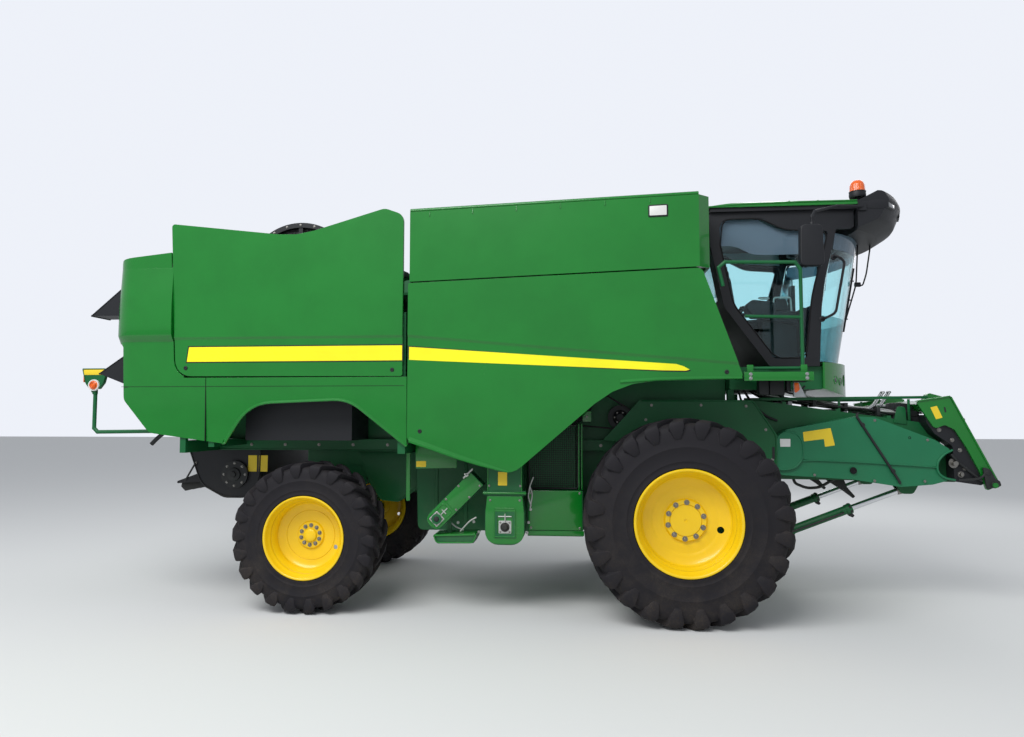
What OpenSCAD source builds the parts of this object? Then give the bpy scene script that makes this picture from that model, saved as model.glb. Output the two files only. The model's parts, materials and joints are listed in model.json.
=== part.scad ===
// Combine harvester on two axles, without a header.
// Millimetres. +X is forward, +Y is the machine's left, +Z is up, and the ground is Z = 0.

/* [Wheels] */
// Distance between the front and rear axles
wheelbase = 3700; // [3660:10:3740]
// Place of the front axle ahead of the origin
front_axle_x = 1750; // [1730:5:1770]
// Front tyre radius out to the tips of its lugs
front_tyre_r = 960; // [940:5:970]
// Front tyre width
front_tyre_w = 620; // [580:10:630]
// Radius of the front rim's flange
front_rim_r = 490; // [480:5:500]
// Middle of the front tyre from the machine's centre
front_track_y = 1430; // [1420:5:1450]
// Bar lugs on each half of a front tyre
front_lugs = 24; // [20:1:26]
// Rear tyre radius out to the tips of its lugs
rear_tyre_r = 740; // [720:5:750]
// Rear tyre width
rear_tyre_w = 520; // [480:10:530]
// Radius of the rear rim's flange
rear_rim_r = 405; // [400:5:415]
// Middle of the rear tyre from the machine's centre
rear_track_y = 1270; // [1260:5:1280]
// Bar lugs on each half of a rear tyre
rear_lugs = 22; // [18:1:24]
// Height of a lug above the tread
lug_h = 42; // [30:2:48]
// Kingpins from the machine's centre
kingpin_y = 1020; // [1015:5:1025]
// Length of a steering arm behind its kingpin
tie_arm = 220; // [210:5:225]

/* [Chassis] */
// Inner face of a side member from the centre
rail_y = 705; // [700:1:710]
// Width of a side member
rail_w = 90; // [70:5:100]
// Underside of the side members
rail_z = 1570; // [1560:5:1580]
// Height of the side members
rail_h = 120; // [100:5:120]
// Half width of the narrow rear frame between the steered wheels
rear_frame_y = 530; // [500:5:535]
// Underside of the shoe housing between the wheels
belly_z = 720; // [700:5:740]

/* [Side panels] */
// Outer face of the side panels from the centre
shield_y = 1550; // [1540:5:1560]
// Thickness of a side shield with its inner frame
shield_t = 36; // [30:2:40]
// How far a shield's crease stands out
crease = 14; // [8:1:18]
// Height of the seam above the front shield, at its front
seam_front_z = 3357; // [3350:1:3365]
// Height of the ledge under the folded auger, above the left shields
ledge_z = 2985; // [2975:1:2995]
// Rear wall of the hood
hood_rear_x = -3990; // [-4010:5:-3970]
// Seam between the front and rear shields
shield_split_x = -925; // [-930:1:-920]

/* [Grain tank] */
// Left wall of the grain tank, beside the folded auger
tank_left_y = 1110; // [1100:5:1120]
// Thickness of the tank's walls
tank_wall = 30; // [20:2:36]
// Front wall of the grain tank
tank_front_x = 2020; // [2015:1:2025]
// Height of the tank's top edge at its rear
tank_top_z = 3954; // [3940:1:3970]
// Thickness of a tank cover
cover_t = 34; // [24:2:40]

/* [Cab] */
// Half width of the cab
cab_y = 950; // [940:5:955]
// Thickness of the cab's side frames
cab_wall = 50; // [40:2:56]
// Top of the cab floor
cab_floor_z = 2480; // [2478:1:2482]
// Radius of the windscreen seen from above
screen_r = 1100; // [1090:5:1110]
// How far the windscreen's top leans forward, in degrees
screen_lean = 10.3; // [9.9:0.2:10.7]
// Thickness of the glass
glass_t = 8; // [6:1:10]

/* [Feeder house] */
// Place of the shaft that the feeder house swings on
feeder_pivot_x = 2420; // [2415:1:2425]
// Height of that shaft
feeder_pivot_z = 1960; // [1955:1:1965]
// Half width of the feeder house
feeder_y = 690; // [670:5:694]
// Thickness of the feeder house's walls
feeder_wall = 28; // [20:2:32]
// Distance of each lift cylinder from the centre
lift_y = 550; // [545:1:555]
// Radius of a lift cylinder's barrel
lift_r = 45; // [40:1:50]

/* [Unloading auger] */
// Height of the folded auger's axis
auger_z = 3290; // [3280:1:3300]
// Distance of the folded auger from the centre
auger_y = 1320; // [1318:1:1322]
// Radius of the auger's tube
auger_r = 185; // [175:1:188]
// Place of the auger's upright pivot
auger_pivot_x = 1430; // [1420:5:1440]
// Rear end of the folded auger
auger_end_x = -4860; // [-4870:5:-4850]

/* [Hidden] */
$fn = 48;
// Largest turn between two points of a rounded corner, in degrees
arc_step = 15;
// Clearance of a piece on its seat, of a shaft in its bore, of a panel beside its neighbour, and of a left
// shield below the ledge
seat = 0.3;
fit = 0.1;
gap = 14;
ledge_gap = 22;
// A panel's hinge: its barrel's radius, and how far its axis lies inside the panel's face and edge
hinge_r = 6;
hinge_in = 10;

rear_axle_x = front_axle_x - wheelbase;
rail_out = rail_y + rail_w;
rail_top = rail_z + rail_h;
body_top_z = 2330;
deck_top_z = 3300;

green = [0.06, 0.45, 0.12];
dark_green = [0.04, 0.24, 0.09];
blue_green = [0.05, 0.34, 0.20];
yellow = [0.98, 0.76, 0.05];
black = [0.05, 0.05, 0.06];
steel = [0.62, 0.64, 0.66];
iron = [0.30, 0.32, 0.32];
tyre_black = [0.07, 0.07, 0.07];
glass_tint = [0.55, 0.75, 0.80, 0.4];
amber = [0.95, 0.42, 0.05];
right = -1;
left = 1;

// Outlines and solids that the pieces share

// One corner of an outline, between its neighbours before and after, as points along an arc of radius r
function corner(before, at, after, r) =
    let (u = (before - at) / norm(before - at),
         v = (after - at) / norm(after - at))
    r <= 0 || norm(u + v) < 0.001 ? [at] :
    let (half = acos(max(-1, min(1, u * v))) / 2,
         reach = min(r / tan(half), 0.49 * norm(before - at), 0.49 * norm(after - at)),
         radius = reach * tan(half),
         centre = at + (u + v) / norm(u + v) * radius / sin(half),
         from = at + u * reach - centre,
         to = at + v * reach - centre,
         start = atan2(from.y, from.x),
         sweep = atan2(to.y, to.x) - start,
         turn = sweep > 180 ? sweep - 360 : sweep < -180 ? sweep + 360 : sweep,
         steps = max(1, ceil(abs(turn) / arc_step)))
    [for (k = [0 : steps]) centre + radius * [cos(start + turn * k / steps), sin(start + turn * k / steps)]];

function flat(row) = [row[0], row[1]];

// Outline with rounded corners. Each row is [across, up, corner radius].
function rounded(rows) =
    let (n = len(rows))
    [for (i = [0 : n - 1])
        each corner(flat(rows[(i + n - 1) % n]), flat(rows[i]), flat(rows[(i + 1) % n]), rows[i][2])];

// Side view outline of [x, z] points, as a slab from y_from to y_to
module side_slab(outline, y_from, y_to)
    translate([0, y_to, 0]) rotate([90, 0, 0]) linear_extrude(y_to - y_from) polygon(outline);

// Cross-section of [y, z] points, as a slab from x_from to x_to
module cross_slab(outline, x_from, x_to)
    translate([x_from, 0, 0]) rotate([90, 0, 90]) linear_extrude(x_to - x_from) polygon(outline);

// Plan outline of [x, y] points, as a slab from z_from to z_to
module plan_slab(outline, z_from, z_to)
    translate([0, 0, z_from]) linear_extrude(z_to - z_from) polygon(outline);

// Block between two values along each axis
module block(x, y, z)
    translate([x[0], y[0], z[0]]) cube([x[1] - x[0], y[1] - y[0], z[1] - z[0]]);

// Round bar along Y
module bar_y(x, z, r, y_from, y_to)
    translate([x, y_to, z]) rotate([90, 0, 0]) cylinder(h = y_to - y_from, r = r);

// Round bar between two points
module bar(from, to, r) {
    span = to - from;
    translate(from)
        rotate([0, acos(span.z / norm(span)), atan2(span.y, span.x)])
            cylinder(h = norm(span), r = r);
}

// Tube along a list of points, with a ball at each bend
module tube_path(points, r) {
    for (k = [1 : len(points) - 1]) bar(points[k - 1], points[k], r);
    for (k = [1 : len(points) - 2]) translate(points[k]) sphere(r = r + 1, $fn = 24);
}

// Turned body about an axis along Y. Its profile rows are [radius, distance outward].
module turned_y(x, y, z, profile)
    translate([x, y, z]) rotate([90, 0, 0]) rotate_extrude() polygon(profile);

// Drawn for the right side. The left side is its mirror image.
module on_side(side) {
    if (side == left) mirror([0, 1, 0]) children();
    else children();
}

module both_sides() {
    on_side(right) children();
    on_side(left) children();
}

// Barrel of a panel's hinge, from one point to another, on an arm that reaches in to y
module hinge_lug(from, to, y) {
    bar(from, to, hinge_r);
    block([from.x - (to.x > from.x ? 0 : hinge_r), max(to.x, from.x + hinge_r)], [from.y, y],
        [from.z - (to.z - from.z > 10 ? 0 : hinge_r), max(to.z, from.z + hinge_r)]);
}

// Chassis

sheet_y = 872;
sheet_t = 20;
front_sheet_rows = [[1380, 2105, 20], [2524, 2102, 30], [2752, 1743, 60], [2745, 1420, 30], [2560, 1400, 60],
    [2300, 1560, 200], [1000, 1690, 0], [1150, 1850, 200]];
rear_sheet_rows = [[-1740, 1560, 0], [-1010, 1560, 0], [-1010, 1150, 40], [-1240, 990, 60], [-1440, 1010, 60],
    [-1560, 1180, 120]];
// posts behind the seam between the shields: [from, to]
post_x = [shield_split_x - 85, shield_split_x - 11];
post_y = shield_y - shield_t - 8;
panel_in_y = shield_y - shield_t - seat;
// front edge of the rear shields, and their upright hinge just behind it
rear_shield_front_x = shield_split_x - 35;
rear_hinge_x = rear_shield_front_x - hinge_in;

module main_frame() color(dark_green) {
    both_sides() {
        block([-3300, 2350], [-rail_out, -rail_y], [rail_z, rail_top]);
        // leg down to the front axle
        block([front_axle_x - 140, front_axle_x + 140], [-rail_out, -rail_y], [axle_top_z, rail_z]);
        // sheet over the front wheel, on two arms from the side member
        side_slab(rounded(front_sheet_rows), -sheet_y - sheet_t, -sheet_y);
        for (x = [1300, 2150]) block([x, x + 80], [-sheet_y, -rail_out], [rail_z + 30, rail_top - 10]);
        // post up to the deck of the cab, with the bearing of the feeder house's shaft
        block([2290, 2350], [-rail_out, -rail_y], [rail_top, deck_z - seat]);
        difference() {
            block([2350, feeder_pivot_x + 70], [-rail_y - 40, -rail_y],
                [feeder_pivot_z - 80, feeder_pivot_z + 80]);
            bar_y(feeder_pivot_x, feeder_pivot_z, feeder_shaft_r + fit, -rail_y - 50, -rail_y + 10);
        }
        // post that carries the rear shield's upright hinge
        block(post_x, [-post_y, -rail_out], [rail_z, rail_z + 80]);
        block(post_x, [-post_y, -post_y + 50], [rail_z, ledge_z - 25]);
        for (z = [2420, 2850])
            hinge_lug([rear_hinge_x, -shield_y + hinge_in, z], [rear_hinge_x, -shield_y + hinge_in, z + 60],
                -panel_in_y + 10);
        // outrigger that carries the quarter panel and the hood
        block([-3240, -3180], [-panel_in_y, -rail_out], [rail_z, rail_top]);
        block([-3240, -3180], [-panel_in_y, -panel_in_y + 50], [rail_z, 1950]);
        block([-2940, -2880], [-panel_in_y, -rail_out], [rail_z + 60, rail_top]);
        // blade of the narrow rear frame in front of the steered wheel
        side_slab(rounded(rear_sheet_rows), -rear_frame_y, -rear_frame_y + sheet_t);
    }
    for (x = [-3250, -2250, 2290]) block([x, x + 60], [-rail_y, rail_y], [rail_z + 10, rail_top - 10]);
    // narrow rear frame that carries the rear axle between the steered wheels
    block([rear_axle_x - 330, rear_axle_x + 330], [-rear_frame_y + 40, rear_frame_y - 40],
        [1180, rail_z + 60]);
    both_sides() block([rear_axle_x - 130, rear_axle_x + 130], [-160, -100], [880, 1180]);
    block([rear_axle_x - 330, -1012], [-rear_frame_y, rear_frame_y], [1400, rail_z]);
}

body_y = rail_y - seat;
belly_rows = [[2280, 1330, 80], [2060, 1100, 60], [860, 1100, 60], [800, belly_z, 60], [-980, belly_z, 60],
    [-1008, 1690.5, 0], [-3280, 1690.5, 0], [-3280, 2100, 0], [-900, 2100, 0], [-900, body_top_z, 0],
    [2280, body_top_z, 0]];
module threshing_body() color(dark_green) side_slab(rounded(belly_rows), -body_y, body_y);

// Pulleys on the body's sides: [x, z, radius, y_out]
pulley_rows = [[640, 2105, 250, 900], [-280, 1905, 190, 880], [1180, 1925, 120, 850]];
module drive_belts() color(black) both_sides()
    for (p = pulley_rows) difference() {
        bar_y(p[0], p[1], p[2], -p[3], -body_y - seat);
        bar_y(p[0], p[1], p[2] * 0.62, -p[3] - 1, -p[3] + 35);
    }

// Axles

axle_top_z = 1060;
lift_low_x = 2300;
lift_low_z = 492;
lift_top_x = 4110;
lift_top_z = 1195;
lift_pin_r = 30;
lift_bracket_rows = [[front_axle_x + 60, 1000, 0], [front_axle_x + 60, 850, 60], [2240, 430, 60],
    [lift_low_x + 62, 430, 60], [lift_low_x + 62, 560, 60], [2050, 1000, 60]];
module front_axle() color(dark_green) {
    block([front_axle_x - 120, front_axle_x + 120], [-1060, 1060], [840, axle_top_z]);
    both_sides() {
        // final drive and spindle
        bar_y(front_axle_x, front_tyre_r, 235, -front_track_y + 100, -1000);
        bar_y(front_axle_x, front_tyre_r, spindle_r, -front_track_y - 50, -front_track_y + 100);
        for (y = [lift_y + 70, lift_y - 110])
            side_slab(rounded(lift_bracket_rows), -y - 40, -y);
        bar_y(lift_low_x, lift_low_z, lift_pin_r, -lift_y - 110, -lift_y + 110);
    }
}

kingpin_r = 35;
hitch_x = rear_axle_x - 300;
yoke_z = [590, 890];
module rear_axle() color(dark_green)
    difference() {
        union() {
            block([rear_axle_x - 105, rear_axle_x + 105], [-kingpin_y + 40, kingpin_y - 40], [650, 830]);
            both_sides() {
                translate([rear_axle_x, -kingpin_y, yoke_z[0]]) cylinder(h = yoke_z[1] - yoke_z[0], r = 75);
                block([rear_axle_x - 75, rear_axle_x + 75], [-kingpin_y, -kingpin_y + 100], yoke_z);
            }
            // pivot bolt and its boss
            bar([rear_axle_x - 160, 0, 860], [rear_axle_x + 160, 0, 860], 60);
            block([rear_axle_x - 95, rear_axle_x + 95], [-100 + seat, 100 - seat], [700, 920]);
            // lug of the rear hitch
            block([hitch_x - 50, rear_axle_x], [-60, 60], [715, 765]);
        }
        translate([hitch_x, 0, 700]) cylinder(h = 80, r = 16.5);
        both_sides() translate([rear_axle_x, -kingpin_y, 0]) {
            translate([0, 0, 650]) cylinder(h = 180, r = 95);
            cylinder(h = 1200, r = kingpin_r + fit);
        }
    }

spindle_r = 80;
rear_spindle_r = 45;
tie_z = 508;
tie_pin_r = 14;
module knuckle(side) color(dark_green) on_side(side) translate([rear_axle_x, -kingpin_y, 0]) {
    translate([0, 0, 655]) cylinder(h = 170, r = 70);
    translate([0, 0, 535]) cylinder(h = 365, r = kingpin_r);
    translate([0, 0, rear_tyre_r]) rotate([90, 0, 0]) cylinder(h = 300, r = rear_spindle_r);
    translate([-tie_arm, -35, 540]) cube([tie_arm, 70, 36]);
    translate([-tie_arm, 0, 540]) cylinder(h = 36, r = 35);
    translate([-tie_arm, 0, 480]) cylinder(h = 60, r = tie_pin_r);
}

module tie_rod() color(dark_green)
    difference() {
        union() {
            bar([rear_axle_x - tie_arm, -kingpin_y, tie_z], [rear_axle_x - tie_arm, kingpin_y, tie_z], 19);
            for (s = [right, left]) translate([rear_axle_x - tie_arm, s * kingpin_y, tie_z - 24])
                cylinder(h = 48, r = 34);
        }
        for (s = [right, left]) translate([rear_axle_x - tie_arm, s * kingpin_y, tie_z - 40])
            cylinder(h = 90, r = tie_pin_r + fit);
    }

// Wheels

lug_skew = 38;
// How far down the tyre's side a lug's foot reaches below the tread, and how far it stands out there
lug_foot = 150;
lug_side = 14;
// One bar lug, as a profile along its length that stands on the tread
module lug(length, w)
    rotate([90, 0, 0]) translate([0, 0, -w / 2]) linear_extrude(w)
        polygon([[0, -60], [0, lug_h - 9], [length / 2, lug_h - 1], [length - 60, lug_h - 10],
            [length, lug_h - 66], [length, -lug_foot], [length - 60, -lug_foot]]);

// Height of the rim's flange bead, on which the tyre sits
bead_h = 3.5;

// Tyre about its middle at x, track, with its carcass and two rows of bar lugs
module tyre(x, track, r, rim_r, w, lugs) {
    tread = r - lug_h;
    side = w / 2 - lug_side;
    bead_r = rim_r + bead_h + seat;
    turned_y(x, track, r, rounded([[bead_r, -side + 20, 10], [r - 230, -side, 130],
        [tread - 30, -side + 12, 60], [tread, -w / 4, 300], [tread, w / 4, 300], [tread - 30, side - 12, 60],
        [r - 230, side, 130], [bead_r, side - 20, 10]]));
    translate([x, track, r])
        for (half = [right, left], k = [0 : lugs - 1])
            rotate([0, (k + half / 4) * 360 / lugs, 0]) on_side(half)
                translate([w * 0.3 * sin(lug_skew), 0, tread]) rotate([0, 0, -90 - lug_skew])
                    translate([-w * 0.03, 0, 0]) lug(w * 0.66, w * 0.10);
}

// Rim about the same middle, with a flange each side, a drop centre and a disc set inboard of the middle
module rim(x, track, z, flange, w, disc, bore) {
    edge = w / 2 - 26;
    well = flange - 72;
    difference() {
        turned_y(x, track, z, [[flange, -edge], [flange + bead_h, -edge], [flange + bead_h, -edge + 14],
            [flange - 30, -edge + 34], [well + 12, -edge + 104], [well + 12, edge - 104],
            [flange - 30, edge - 34], [flange + bead_h, edge - 14], [flange + bead_h, edge], [flange, edge],
            [flange - 42, edge - 36],
            [well, edge - 106], [well - 4, disc + 40], [flange - 150, disc + 6], [bore + 90, disc],
            [bore + 82, disc + 26], [bore, disc + 26], [bore, disc - 24], [flange - 150, disc - 18],
            [well - 4, disc - 30], [well, -edge + 106], [flange - 42, -edge + 36]]);
        // hand hole
        translate([x, track, z]) rotate([0, 20, 0]) translate([flange * 0.55, 0, 0])
            bar_y(0, 0, flange * 0.055, -w, w);
    }
}

module front_tyre(side) color(tyre_black) on_side(side)
    tyre(front_axle_x, -front_track_y, front_tyre_r, front_rim_r, front_tyre_w, front_lugs);
module front_rim(side) color(yellow) on_side(side)
    rim(front_axle_x, -front_track_y, front_tyre_r, front_rim_r, front_tyre_w, 40, spindle_r + seat);
module rear_tyre(side) color(tyre_black) on_side(side)
    tyre(rear_axle_x, -rear_track_y, rear_tyre_r, rear_rim_r, rear_tyre_w, rear_lugs);
module rear_rim(side) color(yellow) on_side(side)
    rim(rear_axle_x, -rear_track_y, rear_tyre_r, rear_rim_r, rear_tyre_w, 0, rear_spindle_r + seat);

// Grain tank

tank_rear_x = shield_split_x + 30;
tank_slope = 2.02;
tank_chamfer = 110;
function seam_z(x) = seam_front_z - (1929 - x) * tan(tank_slope);
function tank_edge_z(x) = tank_top_z + (x - tank_rear_x) * tan(tank_slope);

// Cross-section of the hopper, made smaller all round by in
hopper_top_z = 3300;
shield_hinge_x = [-700, 400, 1500];
function hopper_outline(in) = [[-shield_y + 70 + in, hopper_top_z + in],
    [tank_left_y - 10 - in, hopper_top_z + in],
    [tank_left_y - 10 - in, 3000 + in / 2], [620 - in * 0.7, body_top_z + seat + in],
    [-620 + in * 0.7, body_top_z + seat + in], [-shield_y + 70 + in, 3000 + in / 2]];

module grain_tank() color(green)
    difference() {
        union() {
            intersection() {
                side_slab([[tank_rear_x, seam_z(tank_rear_x)], [tank_front_x, seam_z(tank_front_x)],
                    [tank_front_x, tank_edge_z(tank_front_x)], [tank_rear_x, tank_edge_z(tank_rear_x)]],
                    -shield_y, tank_left_y);
                plan_slab([[tank_rear_x, -shield_y], [tank_front_x - tank_chamfer, -shield_y],
                    [tank_front_x, -shield_y + tank_chamfer], [tank_front_x, tank_left_y],
                    [tank_rear_x, tank_left_y]], 3000, 4200);
            }
            cross_slab(hopper_outline(0), tank_rear_x + 10, tank_front_x - 90);
            // hinges of the right front shield
            for (x = shield_hinge_x) {
                block([x, x + 60], [-panel_in_y, -shield_y + 75], [seam_z(x) - 90, seam_z(x) + 10]);
                hinge_lug([x, -shield_y + hinge_in, seam_z(x) - gap - hinge_in],
                    [x + 60, -shield_y + hinge_in, seam_z(x + 60) - gap - hinge_in], -panel_in_y + 10);
            }
            // ledge under the folded auger, over the left shield
            block([tank_rear_x, tank_front_x - 10], [tank_left_y - 20, shield_y], [ledge_z, ledge_z + 22]);
            for (x = shield_hinge_x) {
                block([x, x + 60], [tank_left_y - 20, panel_in_y], [ledge_z - 60, ledge_z + 10]);
                mirror([0, 1, 0]) hinge_lug([x, -shield_y + hinge_in, ledge_z - ledge_gap - hinge_in],
                    [x + 60, -shield_y + hinge_in, ledge_z - ledge_gap - hinge_in], -panel_in_y + 10);
            }
        }
        block([tank_rear_x + tank_wall, tank_front_x - tank_wall],
            [-shield_y + tank_chamfer, tank_left_y - tank_wall], [hopper_top_z + 20, 4300]);
        block([tank_rear_x + tank_wall, tank_front_x - tank_chamfer],
            [-shield_y + tank_wall, tank_left_y - tank_wall], [hopper_top_z + 20, 4300]);
        cross_slab(hopper_outline(40), tank_rear_x + 50, tank_front_x - 130);
        translate([auger_pivot_x, auger_y, 2900]) cylinder(h = 200, r = auger_r + 4);
    }

// Two cross augers in the hopper's bottom and the upright one that fills the tank
module tank_augers() color(steel) {
    for (y = [-300, 300])
        bar([tank_rear_x + 50, y, body_top_z + 160], [tank_front_x - 130, y, body_top_z + 160], 90);
    bar([600, 0, body_top_z + 63], [900, 0, 3700], 100);
}

cover_hinge_r = 14;
module tank_cover(side) color(green) {
    middle = (tank_left_y - shield_y) / 2;
    y_from = side == right ? -shield_y + cover_hinge_r : middle + gap / 2;
    y_to = side == right ? middle - gap / 2 : tank_left_y - cover_hinge_r;
    y_hinge = side == right ? y_from : y_to;
    x_to = tank_front_x - tank_chamfer;
    rib = 12;
    // barrel of its hinge along the outer edge
    bar([tank_rear_x, y_hinge, tank_edge_z(tank_rear_x) + seat + 1 + cover_hinge_r],
        [x_to, y_hinge, tank_edge_z(x_to) + seat + 1 + cover_hinge_r], cover_hinge_r);
    difference() {
        side_slab([[tank_rear_x, tank_edge_z(tank_rear_x) + seat], [x_to, tank_edge_z(x_to) + seat],
            [x_to, tank_edge_z(x_to) + seat + cover_t],
            [tank_rear_x, tank_edge_z(tank_rear_x) + seat + cover_t]], y_from, y_to);
        // pressed panels between the cover's ribs
        for (k = [0 : 3]) {
            x = tank_rear_x + 80 + k * (x_to - tank_rear_x - 100) / 4;
            length = (x_to - tank_rear_x - 100) / 4 - 60;
            translate([x, 0, tank_edge_z(x) + seat + cover_t - rib]) rotate([0, -tank_slope, 0])
                translate([0, y_from + 60, 0]) cube([length, y_to - y_from - 120, 60]);
        }
    }
}

// Engine bay

engine_x = [-2650, -1350];
module engine_block() color(iron) {
    block(engine_x, [-330, 330], [2300, 3020]);
    block([engine_x[0] + 80, engine_x[1] - 120], [-230, 230], [3020, 3220]);
    for (x = [engine_x[0] + 120, engine_x[1] - 240]) block([x, x + 120], [-430, 430], [2100 + seat, 2380]);
}

// Screen on the right of the cooling unit, a wide ring whose arched top stands above the deck
screen_x = -2100;
screen_z = 3345;
cooler_r = 590;
module cooling_unit() color(black) {
    block([screen_x - 560, screen_x + 560], [-1290, -rail_y], [rail_top + seat, 2700]);
    block([screen_x - 560, screen_x + 560], [-1290, -800], [2700, 3400]);
    difference() {
        bar_y(screen_x, screen_z, cooler_r, -1330, -850);
        bar_y(screen_x, screen_z, cooler_r - 50, -1331, -1290);
    }
    // spokes over the screen
    for (turn = [30, 150, 270]) translate([screen_x, -1322, screen_z]) rotate([0, turn, 0])
        block([0, cooler_r - 30], [0, 40], [-22, 22]);
    bar_y(screen_x, screen_z, 90, -1336, -1280);
}

deck_rear_x = -3190;
module engine_deck() color(dark_green) {
    block([deck_rear_x, tank_rear_x - 10], [-700, tank_left_y], [deck_top_z - 30, deck_top_z]);
    // wall beside the folded auger and the ledge under it
    block([deck_rear_x, tank_rear_x - 10], [tank_left_y - 36, tank_left_y], [ledge_z, 3860]);
    block([deck_rear_x, tank_rear_x - 10], [tank_left_y - 36, shield_y], [ledge_z, ledge_z + 22]);
    // legs down to the side members
    for (x = [deck_rear_x, tank_rear_x - 60]) both_sides()
        block([x, x + 50], [-rail_out, -rail_y], [rail_top, deck_top_z - 30]);
    // cradle that the folded auger rests in
    difference() {
        block([-2300, -2220], [auger_y - 110, auger_y + 110], [ledge_z + 20, auger_z - 110]);
        bar([-2400, auger_y, auger_z], [-2100, auger_y, auger_z], auger_r + seat);
    }
    // rail across the rear of the deck
    rail_x = deck_rear_x + 30;
    tube_path([[rail_x, -660, deck_top_z - 5], [rail_x, -660, 4000], [rail_x, tank_left_y - 80, 4000],
        [rail_x, tank_left_y - 80, deck_top_z - 5]], 17);
}
module exhaust_pipe() color(black) {
    translate([-2900, 560, deck_top_z + seat]) cylinder(h = 90, r = 110);
    translate([-2900, 560, deck_top_z + seat]) cylinder(h = 620, r = 75);
}

// Rear body

hood_top_z = 3605;
hood_rows = [[hood_rear_x, 3430, 90], [hood_rear_x + 40, 3540, 80], [-3330, hood_top_z, 0],
    [-3200, hood_top_z, 0], [-3200, 2322, 0], [-2970, 2322, 0], [-2970, 1690, 0], [-3560, 1770, 120],
    [hood_rear_x + 150, 2110, 90], [hood_rear_x + 120, 2640, 0], [hood_rear_x + 15, 2750, 0]];
hood_wall = 36;
// The same side view for the hollow, open at the front and below
hollow_rows = [[hood_rear_x + hood_wall, 3400, 90], [hood_rear_x + 80, 3500, 80],
    [-3330, hood_top_z - hood_wall, 0], [-2900, hood_top_z - hood_wall, 0], [-2900, 1500, 0],
    [-3520, 1500, 0], [-3520, 1800, 60],
    [hood_rear_x + 190, 2125, 90], [hood_rear_x + 160, 2630, 0], [hood_rear_x + 60, 2735, 0]];
// Place of the rear wall's outer face at height z, above and below the groove that runs round the hood
function upper_wall_x(z) = hood_rear_x + 15 * (3430 - z) / 680;
function lower_wall_x(z) = hood_rear_x + 120 + 30 * (2640 - z) / 530;
hood_corner = 220;
// Section of the rear body. Its lower faces lean in below an edge that runs round it.
lean_z = 2235;
lean_in = 22;
module lower_skin() cross_slab([[-shield_y, 3900], [-shield_y, lean_z], [-shield_y + lean_in, 1600],
    [shield_y - lean_in, 1600], [shield_y, lean_z], [shield_y, 3900]], -4200, -800);
function hood_plan(in, corner_r) = [[-2000, -shield_y + in, 0], [hood_rear_x + in, -shield_y + in, corner_r],
    [hood_rear_x + in, shield_y - in, corner_r], [-2000, shield_y - in, 0]];
module rear_hood() color(green)
    difference() {
        intersection() {
            side_slab(rounded(hood_rows), -shield_y, shield_y);
            plan_slab(rounded(hood_plan(0, hood_corner)), 1500, 3900);
            lower_skin();
        }
        intersection() {
            side_slab(rounded(hollow_rows), -shield_y + hood_wall, shield_y - hood_wall);
            plan_slab(rounded(hood_plan(hood_wall, hood_corner - hood_wall)), 1400, 3900);
        }
        both_sides() side_slab(rounded(rear_shield_outline(gap)), -shield_y - 1, -shield_y + shield_t + 6);
        // room for the folded auger
        block([hood_rear_x - 10, -3000], [tank_left_y, shield_y + 10], [3070, 3900]);
    }

quarter_rows = [[-2964, 1690, 0], [-2760, 1662, 20], [-2500, 2060, 420], [-1500, 2100, 420],
    [shield_split_x + 10, 1640, 0], [shield_split_x + 10, 2322, 0], [-2964, 2322, 0]];
module quarter_panels() color(green) both_sides()
    intersection() {
        side_slab(rounded(quarter_rows), -shield_y, -shield_y + shield_t);
        lower_skin();
    }

// Chopper housing with rounded underside, its rotor's end plates and the tailboard behind it
chopper_rows = [[-3560, rail_z - seat, 0], [-2740, rail_z - seat, 0], [-2740, 1240, 60], [-2860, 1040, 160],
    [-3150, 1040, 160], [-3420, 1180, 60]];
tailboard_rows = [[-3400, 1330, 0], [-3400, 1215, 0], [-3720, 1190, 20], [-3720, 1215, 20]];
module straw_chopper() color(black) {
    side_slab(rounded(chopper_rows), -740, 740);
    side_slab(rounded(tailboard_rows), -700, 700);
    both_sides() bar_y(-3020, 1300, 150, -775, -740);
}

// Vents on the hood's rear wall, with hooded openings that face down
module vent_hoods() color(black) translate([-seat, 0, 0]) {
    side_slab([[upper_wall_x(3300), 3300], [upper_wall_x(2990), 2990], [hood_rear_x - 360, 2990]], -1350,
        -1050);
    both_sides()
        side_slab([[lower_wall_x(2640), 2640], [lower_wall_x(2230), 2230], [hood_rear_x - 250, 2380]], -1350,
            -1050);
}

lamp_x = [-4516, -4240];
module marker_lamps() color(dark_green) both_sides() {
    difference() {
        tube_path([[-3560, -1200, 1781], [-4340, -1200, 1771], [-4380, -1200, 1811], [-4380, -1200, 2230]],
            20);
        translate([-seat, 0, 0]) side_slab(rounded(hood_rows), -shield_y, shield_y);
    }
    side_slab(rounded([[lamp_x[0], 2440, 25], [lamp_x[1], 2440, 25], [lamp_x[1] - 40, 2290, 40],
        [lamp_x[1] - 90, 2226, 20], [lamp_x[0] + 90, 2226, 20], [lamp_x[0] + 40, 2290, 40]]), -1225, -1180);
}

// Elevators on the right of the shoe housing

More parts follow.
